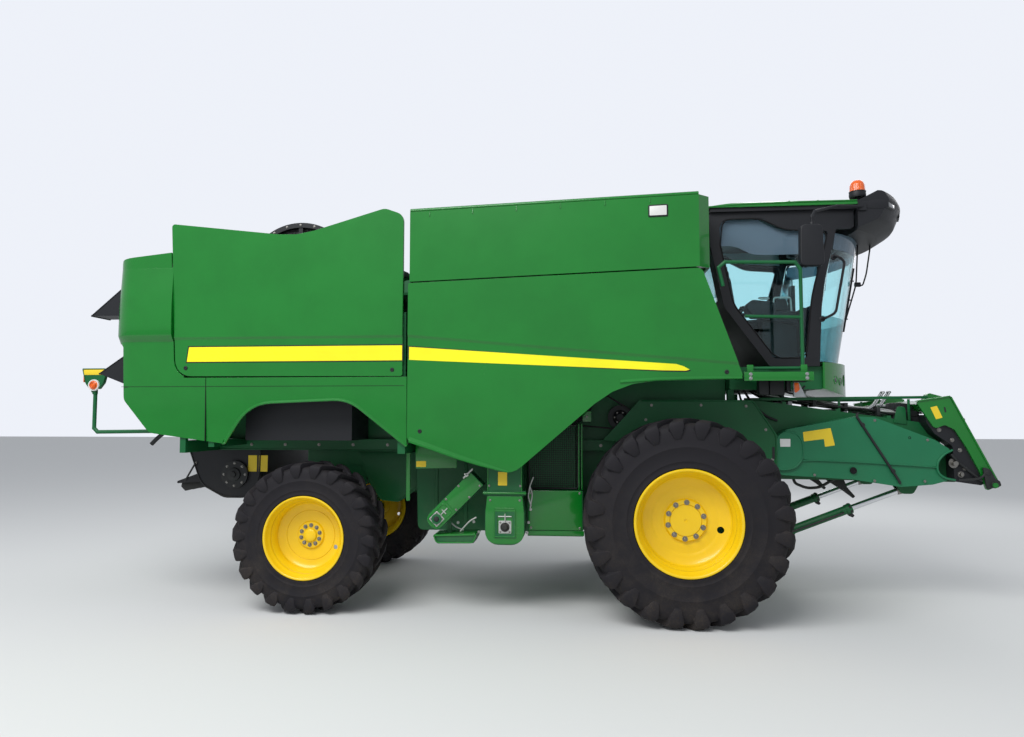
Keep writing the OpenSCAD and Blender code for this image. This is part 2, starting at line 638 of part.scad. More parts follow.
elevator_y = [-1400, -1190];
module clean_grain_elevator() color(dark_green) {
    side_slab(rounded([[-160, 690, 130], [225, 690, 130], [225, 1000, 0], [200, 1150, 0], [200, 2250, 30],
        [-135, 2250, 30], [-135, 1150, 0], [-160, 1000, 0]]), elevator_y[0], elevator_y[1]);
    // cross auger from the shoe housing, and the throw-over to the tank
    bar_y(32, 850, 105, elevator_y[1], -body_y - seat);
    block([-100, 170], [elevator_y[1], -body_y - seat], [2060, 2240]);
    // hinge band and the bearing's window
    block([-175, 240], [elevator_y[0] - 12, elevator_y[0]], [1170, 1210]);
    difference() {
        block([-70, 140], [elevator_y[0] - 16, elevator_y[0]], [760, 1010]);
        block([-40, 110], [elevator_y[0] - 17, elevator_y[0] - 4], [800, 970]);
    }
}
tailings_foot = [-640, 930];
tailings_y = [-1380, -1200];
module tailings_elevator() color(dark_green) {
    translate([tailings_foot[0], 0, tailings_foot[1]]) rotate([0, -45, 0])
        side_slab(rounded([[-95, -90, 85], [560, -90, 0], [560, 90, 0], [-95, 90, 85]]), tailings_y[0],
            tailings_y[1]);
    bar_y(tailings_foot[0], tailings_foot[1], 80, tailings_y[1], -body_y - seat);
    bar_y(tailings_foot[0], tailings_foot[1], 50, tailings_y[0] - 25, tailings_y[0]);
    // tray under its foot
    side_slab([[-660, 757], [-260, 773], [-275, 700], [-630, 690]], -1380, -1100);
    block([-560, -520], [-1240, -1200], [740, 930]);
}
module service_box() color(dark_green) {
    difference() {
        block([240, 790], [-1180, -body_y - seat], [747, 1190]);
        block([265, 765], [-1181, -1170], [775, 1160]);
    }
    block([245, 720], [-1000, -rail_out - seat], [1190, 1850]);
}

// Cab

// Side view of the cab's frame, of the room inside it and of its windows, made smaller all round by in
cab_top_z = 4030;
cab_rows = [[2110, cab_top_z, 20], [2110, 3700, 0], [2240, 3050, 200], [2680, 2440, 0], [3170, 2440, 0],
    [3212, 3178, 1500], [3365, 3835, 20], [3540, 3845, 20], [3540, cab_top_z, 0]];
room_rows = [[2150, cab_top_z - 30, 20], [2150, 3700, 0], [2280, 3070, 200], [2690, cab_floor_z, 0],
    [3260, cab_floor_z, 0], [3600, cab_top_z - 30, 0]];
function window_rows(in) = [[2210 + in, 3965 - in, 100], [2210 + in, 3700, 0],
    [2330 + in, 3080 + in / 2, 180], [2730 + in / 2, 2520 + in, 30], [3045 - in, 2520 + in, 30],
    [3112 - in, 3150, 1500], [3290 - in, 3815 - in, 30], [2850, 3845 - in, 300], [2620, 3970 - in, 200]];
module cab_frame() color(black) {
    door_hinge(3600);
    door_hinge(3740);
    difference() {
        side_slab(rounded(cab_rows), -cab_y, cab_y);
        side_slab(rounded(room_rows), -cab_y + cab_wall, cab_y - cab_wall);
        side_slab(rounded(window_rows(0)), -cab_y - 10, cab_y + 10);
        // windscreen opening and rear window
        block([3100, 3600], [-cab_y + cab_wall, cab_y - cab_wall], [cab_floor_z, cab_top_z - 30]);
        block([2000, 2300], [-700, 700], [3150, 3850]);
    }
}

// Upright hinge of the door, outside the frame: barrels of the frame and of the door stand on each other
door_hinge_x = 2196;
door_hinge_y = cab_y + 12;
door_barrel_r = 10;
door_barrel_h = 50;
module door_hinge(z) {
    translate([door_hinge_x, door_hinge_y, z]) cylinder(h = door_barrel_h, r = door_barrel_r);
    block([door_hinge_x - door_barrel_r, door_hinge_x + door_barrel_r], [cab_y - 10, door_hinge_y],
        [z, z + door_barrel_h]);
}

roof_z = 4070;
module cab_roof() color(green)
    intersection() {
        side_slab(rounded([[2069, roof_z, 0], [2069, 4080, 10], [2300, 4112, 300], [3008, 4185, 900],
            [3560, 4130, 0], [3560, roof_z, 0]]), -1010, 1010);
        cross_slab(rounded([[-1010, 4050, 0], [-1010, 4110, 40], [-900, 4150, 300], [0, 4200, 2500],
            [900, 4150, 300], [1010, 4110, 40], [1010, 4050, 0]]), 2000, 3600);
    }

beacon_x = 3605;
beacon_y = -890;
beacon_r = 74;
beacon_z = 4225;
screen_top_x = 2790;
module roof_visor() color(black) {
    block([2110, 3700], [-cab_y - 40, cab_y + 40], [cab_top_z + seat, roof_z - seat]);
    // curved visor that follows the windscreen
    intersection() {
        translate([screen_top_x, 0, 0]) rotate([0, 0, -70]) rotate_extrude(angle = 140)
            polygon(rounded([[900, 4190, 0], [900, 3830, 0], [1150, 3815, 20], [1240, 3815, 30],
                [1402, 3918, 100], [1480, 4110, 60], [1440, 4200, 40], [1250, 4224, 100]]));
        side_slab([[3560 + seat, 3700], [4400, 3700], [4400, 4230], [3800, 4226], [3560 + seat, 4105]],
            -cab_y - 60, cab_y + 60);
    }
    // stem and base of the beacon
    translate([beacon_x, beacon_y, 4090]) cylinder(h = beacon_z - 4090, r = 26);
    translate([beacon_x, beacon_y, beacon_z - 60]) cylinder(h = 60, r = beacon_r + 3);
}

// Nose under the windscreen, round in plan like the glass above it
nose_r = screen_r + 97;
nose_x = 3569 - screen_r;
nose_rear_x = 3205;
module cab_nose() color(dark_green)
    difference() {
        intersection() {
            side_slab(rounded([[nose_rear_x, cab_floor_z - seat, 0], [3700, cab_floor_z - seat, 30],
                [3690, 2300, 80], [3610, 2135, 60], [3400, 2170, 60], [nose_rear_x, 2215, 0]]),
                -cab_y + 20, cab_y - 20);
            translate([nose_x, 0, 1900]) cylinder(h = 700, r = nose_r, $fn = 160);
        }
        for (s = [right, left]) bar([nose_x + 900, s * 520, 2310], [nose_x + 1300, s * 620, 2310], 62);
    }

// Windscreen, round in plan and leaning forward
module cab_glass() color(glass_tint) {
    intersection() {
        translate([nose_x, 0, 2440]) rotate([0, screen_lean, 0])
            difference() {
                cylinder(h = 1500, r = screen_r, $fn = 200);
                translate([0, 0, -1]) cylinder(h = 1502, r = screen_r - glass_t, $fn = 200);
            }
        block([3060, 4100], [-cab_y + cab_wall + seat, cab_y - cab_wall - seat], [cab_floor_z + seat, 3811]);
    }
    // window on the right and the one behind the seat, on the frame's inner faces
    side_slab(rounded(window_rows(-20)), -cab_y + cab_wall + seat, -cab_y + cab_wall + seat + glass_t);
    side_slab([[2150.4, 3880], [2150.4, 3700], [2268, 3130], [2268 + glass_t, 3130], [2150.4 + glass_t, 3700],
        [2150.4 + glass_t, 3880]], -730, 730);
}

module operator_seat() color(black) {
    side_slab(rounded([[2580, 2850, 30], [3060, 2850, 60], [3080, 2960, 60], [2600, 2950, 0], [2560, 3560, 50],
        [2450, 3570, 50], [2500, 2960, 30]]), -250, 250);
    both_sides() side_slab(rounded([[2590, 3100, 20], [2980, 3120, 30], [2980, 3170, 30], [2590, 3150, 20]]),
        -330, -260);
    both_sides() block([2540, 2590], [-330, -200], [3080, 3170]);
    block([2730, 2960], [-150, 150], [cab_floor_z + seat, 2850]);
}

// Steering column, its wheel, and the console on the right of the seat with its screen
module steering_console() color(black) {
    translate([3150, 0, cab_floor_z + seat]) cylinder(h = 40, r = 75);
    bar([3150, 0, cab_floor_z + 20], [3230, 0, 3060], 42);
    translate([3230, 0, 3060]) rotate([0, -25, 0]) {
        difference() {
            cylinder(h = 34, r = 195);
            translate([0, 0, -1]) cylinder(h = 36, r = 165);
        }
        for (turn = [90, 210, 330]) rotate([0, 0, turn]) block([0, 180], [-16, 16], [6, 26]);
        cylinder(h = 30, r = 45);
    }
    block([2705, 3120], [-560, -400], [cab_floor_z + seat, 3040]);
    block([3020, 3060], [-540, -420], [3040, 3330]);
}

module beacon() color(amber) {
    translate([beacon_x, beacon_y, beacon_z + seat]) cylinder(h = 50, r = beacon_r);
    intersection() {
        translate([beacon_x, beacon_y, beacon_z + 49]) sphere(r = beacon_r - 1);
        translate([beacon_x, beacon_y, beacon_z + 40]) cylinder(h = 2 * beacon_r, r = 2 * beacon_r);
    }
}

// A mirror with its arm from the visor's side
module mirror_arm(x) {
    side_slab(rounded([[x, 3370, 40], [x + 230, 3370, 40], [x + 220, 3775, 50], [x + 10, 3775, 50]]), -1400,
        -1350);
    tube_path([[x + 130, -1375, 3740], [x + 130, -1375, 3850], [x + 170, -1340, 3915],
        [(x + 3760) / 2, -1150, 4015], [3600, -1023, 4040]], 15);
    block([3562, 3638], [-cab_y - 80, -cab_y - 60 - seat], [4000, 4080]);
}
module mirrors() color(black) {
    mirror_arm(2870);
    mirror([0, 1, 0]) mirror_arm(3340);
}

door_gap = 6;
door_frame = 52;
door_y = [cab_y - 40, cab_y - 2];
module cab_door() color(black) {
    difference() {
        side_slab(rounded(window_rows(door_gap)), door_y[0], door_y[1]);
        side_slab(rounded(window_rows(door_gap + door_frame)), door_y[0] - 10, door_y[1] + 10);
    }
    // barrels of its hinge, on straps from its rear edge
    for (z = [3650 + seat, 3790 + seat]) {
        translate([door_hinge_x, door_hinge_y, z]) cylinder(h = door_barrel_h, r = door_barrel_r);
        block([door_hinge_x, 2260], [cab_y + 2, door_hinge_y], [z, z + door_barrel_h - 10]);
        block([2222, 2260], [door_y[1] - 10, door_hinge_y], [z, z + door_barrel_h - 10]);
    }
}
module door_glass() color(glass_tint)
    side_slab(rounded(window_rows(door_gap + door_frame)), cab_y - 24, cab_y - 24 + glass_t);

deck_z = 2210;
hand_rail_y = 1450;
platform_z = [2300, 2350];
module side_platforms() color(dark_green) {
    // deck under the cab
    block([2290, nose_rear_x - seat], [-cab_y + 60, cab_y - 60], [deck_z, 2440 - seat]);
    both_sides() block([2400, 2500], [-cab_y - 2, -cab_y + 60], platform_z);
    // right platform and its rail
    block([2330, 2940], [-1500, -cab_y - 2], platform_z);
    tube_path([[2140, -hand_rail_y, 3180], [2100, -hand_rail_y, 3360], [2160, -hand_rail_y, 3412],
        [2812, -hand_rail_y, 3399], [2860, -hand_rail_y, 3330], [2860, -hand_rail_y, 2345]], 17);
    bar([2338, -hand_rail_y, 2888], [2860, -hand_rail_y, 2872], 15);
    bar([2395, -hand_rail_y, 2390], [2860, -hand_rail_y, 2390], 15);
    // left platform, with rails across its front and rear that leave the door its room
    block([2140, 3420], [cab_y + 2, 1500], platform_z);
    for (x = [2160, 3400])
        tube_path([[x, 1010, 2345], [x, 1010, 3250], [x, 1060, 3300], [x, 1430, 3300], [x, 1480, 3250],
            [x, 1480, 2345]], 17);
}

ladder_x = [2830, 3320];
ladder_pivot = [2800, 1500];
tread_count = 5;
module access_ladder() color(dark_green) {
    translate([ladder_pivot.x, ladder_pivot.y, 2000]) cylinder(h = platform_z[0] - 2000 - seat, r = 22);
    for (z = [2020, 2240])
        block([ladder_pivot.x, ladder_x[0]], [ladder_pivot.y - 12, ladder_pivot.y + 12], [z, z + 40]);
    for (x = ladder_x) side_slab([[x - 18, 2290], [x + 18, 2290], [x + 18, 690], [x - 18, 690]], 1480, 1560);
    for (k = [0 : tread_count - 1])
        block(ladder_x, [1460, 1580], [760 + k * 300, 790 + k * 300]);
}

// Unloading auger

module auger_elbow() color(green)
    difference() {
        union() {
            translate([auger_pivot_x, auger_y, body_top_z])
                cylinder(h = auger_z - auger_r - 5 - body_top_z - seat, r = auger_r);
            bar_y(auger_pivot_x, body_top_z + 170, 140, 600, auger_y);
        }
        cross_slab(hopper_outline(0), tank_rear_x, tank_front_x);
        // room for the ledge's rim
        block([auger_pivot_x - 300, auger_pivot_x + 300], [shield_y - shield_t - 4, 1700], [2000, 3200]);
    }
module auger_tube() color(green) {
    bar([auger_end_x + 330, auger_y, auger_z], [auger_pivot_x, auger_y, auger_z], auger_r);
    translate([auger_pivot_x, auger_y, auger_z - auger_r - 5]) cylinder(h = auger_r * 2 + 10, r = auger_r);
    bar([auger_end_x + 900, auger_y, auger_z], [auger_end_x + 930, auger_y, auger_z], auger_r + 14);
}
// Rubber spout at the auger's end, open below
module auger_spout() color(black)
    translate([auger_end_x, 0, auger_z]) difference() {
        side_slab(rounded([[330 - seat, auger_r, 0], [130, auger_r, 80], [20, 60, 80], [0, -420, 0],
            [300, -420, 0], [330 - seat, -auger_r, 0]]), auger_y - 170, auger_y + 170);
        side_slab(rounded([[290, auger_r - 40, 0], [140, auger_r - 30, 60], [55, 50, 60], [30, -450, 0],
            [270, -450, 0], [290, -auger_r, 0]]), auger_y - 145, auger_y + 145);
    }

// Feeder house

feeder_shaft_r = 45;
feeder_rows = [[feeder_pivot_x - 100, feeder_pivot_z, 80], [feeder_pivot_x - 40, feeder_pivot_z + 120, 80],
    [2620, house_top_z(2620), 60], [4330, house_top_z(4330), 20], [4520, 1400, 0], [4560, 1272, 20],
    [2700, 1290, 160], [feeder_pivot_x - 40, feeder_pivot_z - 140, 100]];
function house_top_z(x) = 2100 - (x - 2620) * 240 / 1710;
throat_rows = [[feeder_pivot_x - 200, 2010, 0], [2620, 2060, 60], [4700, 1772, 0], [4700, 1310, 0],
    [2700, 1330, 120], [feeder_pivot_x - 200, 1850, 0]];
// Ears on the underside that hold the lift cylinders' upper pins
module lift_ears() both_sides() {
    for (y = [lift_y + 42, lift_y - 56])
        side_slab(rounded([[3960, 1300, 0], [lift_top_x - 60, lift_top_z - 55, 50],
            [lift_top_x + 60, lift_top_z - 55, 50], [4260, 1300, 0]]), -y - 14, -y);
    bar_y(lift_top_x, lift_top_z, 20, -lift_y - 56, -lift_y + 56);
}
module feeder_house() color(dark_green) {
    difference() {
        side_slab(rounded(feeder_rows), -feeder_y, feeder_y);
        side_slab(rounded(throat_rows), -feeder_y + feeder_wall, feeder_y - feeder_wall);
    }
    bar_y(feeder_pivot_x, feeder_pivot_z, feeder_shaft_r, -rail_y - 40, rail_y + 40);
    lift_ears();
    // ribs across the top
    for (x = [2860, 3400, 3900])
        block([x, x + 40], [-feeder_y, feeder_y], [house_top_z(x) - 15, house_top_z(x) + 22]);
}

// Moulded shield on each side of the feeder house: a broad cover with a round mouth at its front
shield_out_y = 850;
cover_rows = [[2745, 1730, 25], [2870, 1806, 60], [3560, 1935, 80], [3720, 1925, 60], [4290, 1700, 60],
    [4440, 1600, 20], [4300, 1500, 90], [4300, 1360, 90], [4450, 1308, 20], [4260, 1256, 60],
    [3960, 1230, 100], [3500, 1300, 300], [2800, 1340, 60], [2745, 1408, 30]];
// upper half, above the long crease, stands further out than the lower one
crease_rows = [[2700, 1440], [3010, 1500], [4170, 1445], [4600, 1420], [4600, 1000], [2700, 1000]];
pad_rows = [[2752, 1404, 20], [2752, 1728, 30], [2840, 1786, 40], [2950, 1770, 90], [3010, 1680, 90],
    [3006, 1500, 120], [2930, 1412, 90], [2830, 1392, 30]];
module feeder_shields() color(blue_green) both_sides() {
    difference() {
        side_slab(rounded(cover_rows), -shield_out_y, -feeder_y - seat);
        side_slab(crease_rows, -shield_out_y - 1, -shield_out_y + 16);
    }
    // raised pad over the drive at its rear
    side_slab(rounded(pad_rows), -shield_out_y - 12, -shield_out_y + 20);
}

header_plate_rows = [[4110, 2082, 20], [4430, 2130, 20], [4862, 1256, 20], [4745, 1205, 20], [4682, 1400, 60],
    [4570, 1631, 60], [4465, 1805, 40], [4374, 1850, 40], [4279, 1812, 40], [4230, 1890, 30]];
plate_y = [853, 880];
hook_pin = [4800, 1262];
// Frame that the header hangs on: side plates, top beam with saddles, lower beam and locking pins
module header_frame() color(green) {
    both_sides() {
        side_slab(rounded(header_plate_rows), -plate_y[1], -plate_y[0]);
        bar_y(hook_pin.x, hook_pin.y, 25, -plate_y[1] - 60, -plate_y[0]);
    }
    side_slab(rounded([[4180, 2060, 0], [4470, 2110, 20], [4500, 2000, 20], [4380, 1960, 0],
        [4230, 1985, 0]]), -plate_y[0], plate_y[0]);
    // saddles that catch the header's top beam
    for (y = [-500, 500])
        side_slab(rounded([[4300, 2060, 0], [4380, 2180, 30], [4560, 2130, 20], [4540, 2090, 20],
            [4450, 2050, 0]]), y - 40, y + 40);
}
// Cheeks that bolt the header frame to the feeder house's mouth
cheek_rows = [[4200, 1950, 0], [4530, 1950, 0], [4590, 1790, 0], [4700, 1440, 60], [4740, 1250, 30],
    [4460, 1290, 0], [4455, 1640, 40], [4290, 1760, 30], [4215, 1870, 30]];
module mouth_cheeks() color(black) both_sides()
    side_slab(rounded(cheek_rows), -plate_y[0] + seat, -feeder_y - seat);

slat_count = 12;
module feed_chain() color(steel) {
    throat_y = feeder_y - feeder_wall - seat;
    bar_y(4200, 1560, 150, -throat_y, throat_y);
    for (k = [0 : slat_count - 1])
        translate([4200, 0, 1560]) rotate([0, k * 360 / slat_count, 0])
            block([-14, 14], [-throat_y + 40, throat_y - 40], [140, 180]);
}
module hydraulic_lines() color(steel) {
    for (y = [-520, -470, -420])
        bar([2880, y, house_top_z(2880) + 46], [4150, y, house_top_z(4150) + 46], 16);
    for (x = [2960, 3520, 4080])
        block([x, x + 40], [-545, -395], [house_top_z(x) + seat, house_top_z(x) + 54]);
}

lift_length = norm([lift_top_x - lift_low_x, lift_top_z - lift_low_z]);
lift_angle = atan2(lift_top_z - lift_low_z, lift_top_x - lift_low_x);
barrel_length = 1360;
rod_r = 30;
// Along the cylinder's axis from its lower pin, with X towards the upper one
module along_lift() translate([lift_low_x, -lift_y, lift_low_z]) rotate([0, -lift_angle, 0]) children();
module lift_barrels() color(black) both_sides() along_lift()
    difference() {
        union() {
            rotate([0, 90, 0]) cylinder(h = barrel_length, r = lift_r);
            rotate([0, 90, 0]) translate([0, 0, barrel_length - 60]) cylinder(h = 60, r = lift_r + 8);
            bar_y(0, 0, 55, -60, 60);
        }
        bar_y(0, 0, lift_pin_r + fit, -61, 61);
        rotate([0, 90, 0]) translate([0, 0, 110]) cylinder(h = barrel_length, r = rod_r + fit);
    }
module lift_rods() color(steel) both_sides() along_lift()
    difference() {
        union() {
            rotate([0, 90, 0]) translate([0, 0, 620]) cylinder(h = lift_length - 620 - 45, r = rod_r);
            bar_y(lift_length, 0, 52, -40, 40);
        }
        bar_y(lift_length, 0, 38, -61, 61);
    }

// Side shields

// Outer skin of a side panel. The band of its stripe lies back from a crease that slopes along the machine:
// the crease passes x at height z and rises to the rear by slope degrees.
module shield_skin(x, z, slope) {
    reach = 4000;
    in_y = -shield_y + shield_t;
    translate([x, 0, z]) rotate([0, slope, 0])
        cross_slab([[in_y, 2500], [-shield_y, 2500], [-shield_y - 2, 900], [-shield_y - crease, 0],
            [-shield_y - 1, -26], [-shield_y - 1, -300], [-shield_y - 6, -420], [-shield_y + 4, -2500],
            [in_y, -2500]], -reach, reach);
}

front_shield_bottom = [[2300, 2285, 40], [1150, 2262, 900], [120, 1380, 200], [-300, 1488, 1500],
    [shield_split_x + 18, 1700, 60]];
front_shield_rows = concat([[shield_split_x + 18, seam_z(shield_split_x) - gap, 20],
    [1929, seam_front_z - gap, 60]], front_shield_bottom);
left_shield_rows = concat([[shield_split_x + 18, ledge_z - ledge_gap, 0], [2010, ledge_z - ledge_gap, 20]],
    front_shield_bottom);
// Slot on the panel's inner side for a hinge's barrel and arm
slot_y = [-shield_y + hinge_in - hinge_r - seat, -shield_y + shield_t + 10];
module front_shield(side) color(green) on_side(side)
    difference() {
        intersection() {
            side_slab(rounded(side == right ? front_shield_rows : left_shield_rows), -shield_y - 40,
                -shield_y + shield_t);
            shield_skin(-874, 2730, 5.3);
        }
        for (x = shield_hinge_x) {
            top = side == right ? seam_z(x) - gap : ledge_z - ledge_gap;
            block([x - 6, x + 66], slot_y, [top - 2 * hinge_in, top + 40]);
        }
    }

// Right rear shield's outline, made larger all round by grow
function rear_shield_outline(grow) = [[-3370 - grow, 3896 + grow, 30], [-2050, 3740 + grow, 900],
    [-1150, 4000 + grow, 120], [rear_shield_front_x + grow, 3930 + grow, 90],
    [rear_shield_front_x + grow, 2328 - grow, 20], [-3285 - grow, 2338 - grow, 170 + grow]];
left_rear_rows = [[-3315, ledge_z - ledge_gap, 30], [rear_shield_front_x, ledge_z - ledge_gap, 0],
    [rear_shield_front_x, 2328, 20], [-3285, 2338, 170]];
module rear_shield(side) color(green) on_side(side)
    difference() {
        intersection() {
            side_slab(rounded(side == right ? rear_shield_outline(0) : left_rear_rows), -shield_y - 40,
                -shield_y + shield_t);
            shield_skin(-2500, 2730, 0);
        }
        for (z = [2420, 2850])
            block([rear_shield_front_x - 2 * hinge_in, rear_shield_front_x + 40], slot_y, [z - 6, z + 66]);
    }

main_frame();
threshing_body();
drive_belts();
front_axle();
rear_axle();
grain_tank();
tank_augers();
tank_cover(right);  // tank_cover_right
tank_cover(left);  // tank_cover_left
engine_block();
cooling_unit();
engine_deck();
exhaust_pipe();
rear_hood();
quarter_panels();
straw_chopper();
clean_grain_elevator();
tailings_elevator();
service_box();
cab_frame();
cab_roof();
roof_visor();
cab_nose();
cab_glass();
operator_seat();
steering_console();
beacon();
mirrors();
cab_door();
door_glass();
side_platforms();
access_ladder();
marker_lamps();
vent_hoods();
auger_elbow();
auger_tube();
auger_spout();
feeder_house();
feeder_shields();
header_frame();
mouth_cheeks();
feed_chain();
hydraulic_lines();
lift_barrels();
lift_rods();
front_shield(right);  // front_shield_right
front_shield(left);  // front_shield_left
rear_shield(right);  // rear_shield_right
rear_shield(left);  // rear_shield_left
front_tyre(right);  // front_tyre_right
front_tyre(left);  // front_tyre_left
front_rim(right);  // front_rim_right
front_rim(left);  // front_rim_left
rear_tyre(right);  // rear_tyre_right
rear_tyre(left);  // rear_tyre_left
rear_rim(right);  // rear_rim_right
rear_rim(left);  // rear_rim_left
knuckle(right);  // knuckle_right
knuckle(left);  // knuckle_left
tie_rod();
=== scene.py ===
import json
import math

import bmesh
import bpy
from mathutils import Matrix, Vector


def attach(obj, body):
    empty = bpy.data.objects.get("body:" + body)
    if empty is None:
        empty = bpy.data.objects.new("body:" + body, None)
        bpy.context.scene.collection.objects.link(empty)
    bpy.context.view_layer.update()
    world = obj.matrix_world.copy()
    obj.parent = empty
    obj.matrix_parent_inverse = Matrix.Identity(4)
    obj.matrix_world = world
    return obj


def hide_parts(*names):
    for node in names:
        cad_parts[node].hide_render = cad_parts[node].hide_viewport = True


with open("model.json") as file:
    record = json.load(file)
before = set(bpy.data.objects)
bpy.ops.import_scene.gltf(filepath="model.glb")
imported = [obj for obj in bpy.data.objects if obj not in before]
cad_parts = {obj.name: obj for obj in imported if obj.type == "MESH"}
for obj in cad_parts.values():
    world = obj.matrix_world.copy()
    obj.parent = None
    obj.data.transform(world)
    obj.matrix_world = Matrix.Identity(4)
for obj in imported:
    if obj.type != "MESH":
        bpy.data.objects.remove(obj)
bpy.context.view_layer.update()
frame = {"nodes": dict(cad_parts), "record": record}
nodes = frame["nodes"]
print("frame loaded:", len(nodes), "nodes")

# Sizes below are millimetres in the frame's own axes, +X forward, +Y the machine's left and +Z up,
# and every piece is brought to metres when it is finished.
perMetre = 1000.0
right = -1
left = 1
bothSides = (right, left)
sideWords = ((right, "right"), (left, "left"))
upward = (0, 0, 1)
forward = (1, 0, 0)
rearward = (-1, 0, 0)
toLeft = (0, 1, 0)
toRight = (0, -1, 0)


# Camera at the photograph's place

cameraView = {
    "lens": 26.0,
    "place": (0.80, -8.628, 1.929),
    "turn": 5.5,     # degrees to the left of straight across the machine
    "rise": 3.75,    # degrees above level
}
turn = math.radians(cameraView["turn"])
rise = math.radians(cameraView["rise"])
lookDirection = Vector((-math.sin(turn) * math.cos(rise), math.cos(turn) * math.cos(rise),
    math.sin(rise)))
cameraData = bpy.data.cameras.new("viewCamera")
cameraData.lens = cameraView["lens"]
cameraData.sensor_width = 36.0
cameraData.clip_end = 200
viewCamera = bpy.data.objects.new("viewCamera", cameraData)
viewCamera.location = cameraView["place"]
viewCamera.rotation_euler = lookDirection.to_track_quat("-Z", "Y").to_euler()
bpy.context.scene.collection.objects.link(viewCamera)
bpy.context.scene.camera = viewCamera
bpy.context.scene.view_settings.view_transform = "Standard"


# Nodes of the shaders

# Put numbers, colours or other nodes' sockets into a node's inputs
def feed(tree, node, inputs):
    for key, value in inputs.items():
        socket = node.inputs[key]
        if isinstance(value, bpy.types.NodeSocket):
            tree.links.new(value, socket)
        elif socket.type == "RGBA":
            socket.default_value = (*value[:3], 1)
        else:
            socket.default_value = value


def addNode(tree, kind, inputs=None, **settings):
    node = tree.nodes.new("ShaderNode" + kind)
    for word, value in settings.items():
        setattr(node, word, value)
    feed(tree, node, inputs or {})
    return node


def noiseNode(tree, vector, scale, detail=3.0, roughness=0.5):
    inputs = {"Vector": vector, "Scale": scale, "Detail": detail, "Roughness": roughness}
    return addNode(tree, "TexNoise", inputs).outputs["Fac"]


def rangeNode(tree, value, low, high, toLow=0.0, toHigh=1.0):
    inputs = {"Value": value, "From Min": low, "From Max": high, "To Min": toLow, "To Max": toHigh}
    return addNode(tree, "MapRange", inputs, interpolation_type="SMOOTHSTEP").outputs["Result"]


def mathNode(tree, operation, first, second):
    return addNode(tree, "Math", {0: first, 1: second}, operation=operation).outputs[0]


def mixColours(tree, factor, first, second, blend="MIX"):
    inputs = {0: factor, 6: first, 7: second}
    return addNode(tree, "Mix", inputs, data_type="RGBA", blend_type=blend).outputs[2]


def newMaterial(name):
    material = bpy.data.materials.new(name)
    material.use_nodes = True
    tree = material.node_tree
    return material, tree, next(node for node in tree.nodes if node.type == "BSDF_PRINCIPLED")


# Light: a pale world, a broad soft key from above and behind the camera, and a weak fill

studio = {
    "sky": (0.90, 0.93, 1.0),
    "skyLight": 0.62,
    "skySeen": 0.95,
    "keyPower": 1500,
    "fillPower": 320,
    "floor": (0.66, 0.67, 0.66),
    "floorSize": 60,
}


# The sky is seen brighter than it lights
def makeWorld():
    world = bpy.data.worlds.new("paleStudio")
    bpy.context.scene.world = world
    world.use_nodes = True
    tree = world.node_tree
    tree.nodes.clear()
    lighting = addNode(tree, "Background", {"Color": studio["sky"], "Strength": studio["skyLight"]})
    seen = addNode(tree, "Background", {"Color": studio["sky"], "Strength": studio["skySeen"]})
    paths = addNode(tree, "LightPath").outputs
    direct = mathNode(tree, "MAXIMUM", paths["Is Camera Ray"], paths["Is Transmission Ray"])
    mix = addNode(tree, "MixShader", {0: direct, 1: lighting.outputs[0], 2: seen.outputs[0]})
    addNode(tree, "OutputWorld", {"Surface": mix.outputs[0]})


def softLamp(name, place, target, size, power):
    data = bpy.data.lights.new(name, "AREA")
    data.shape = "RECTANGLE"
    data.size, data.size_y = size
    data.energy = power
    lamp = bpy.data.objects.new(name, data)
    lamp.location = place
    lamp.rotation_euler = (Vector(target) - Vector(place)).to_track_quat("-Z", "Y").to_euler()
    lamp.visible_transmission = False
    bpy.context.scene.collection.objects.link(lamp)


def makeFloor():
    bm = bmesh.new()
    bmesh.ops.create_grid(bm, x_segments=1, y_segments=1, size=studio["floorSize"])
    mesh = bpy.data.meshes.new("studioFloor")
    bm.to_mesh(mesh)
    bm.free()
    floor = bpy.data.objects.new("studioFloor", mesh)
    bpy.context.scene.collection.objects.link(floor)
    material, tree, shader = newMaterial("paleFloor")
    feed(tree, shader, {"Base Color": studio["floor"], "Roughness": 0.9, "Specular IOR Level": 0.1})
    mesh.materials.append(material)


makeWorld()
softLamp("keyLamp", (-4.0, -9.0, 11.0), (0.3, 0, 1.8), (10, 6), studio["keyPower"])
softLamp("fillLamp", (7.0, 8.0, 8.0), (0, 0, 1.5), (8, 6), studio["fillPower"])
makeFloor()
print("camera, lights and floor made")


# Effects that several finishes share, each a node group with named inputs and outputs

dustColour = (0.23, 0.19, 0.13)


def startGroup(name, inputs, outputs):
    group = bpy.data.node_groups.new(name, "ShaderNodeTree")
    for label, kind, value in inputs:
        socket = group.interface.new_socket(label, in_out="INPUT", socket_type="NodeSocket" + kind)
        if value is not None:
            socket.default_value = value
    for label, kind in outputs:
        group.interface.new_socket(label, in_out="OUTPUT", socket_type="NodeSocket" + kind)
    return group, group.nodes.new("NodeGroupInput").outputs, group.nodes.new("NodeGroupOutput")


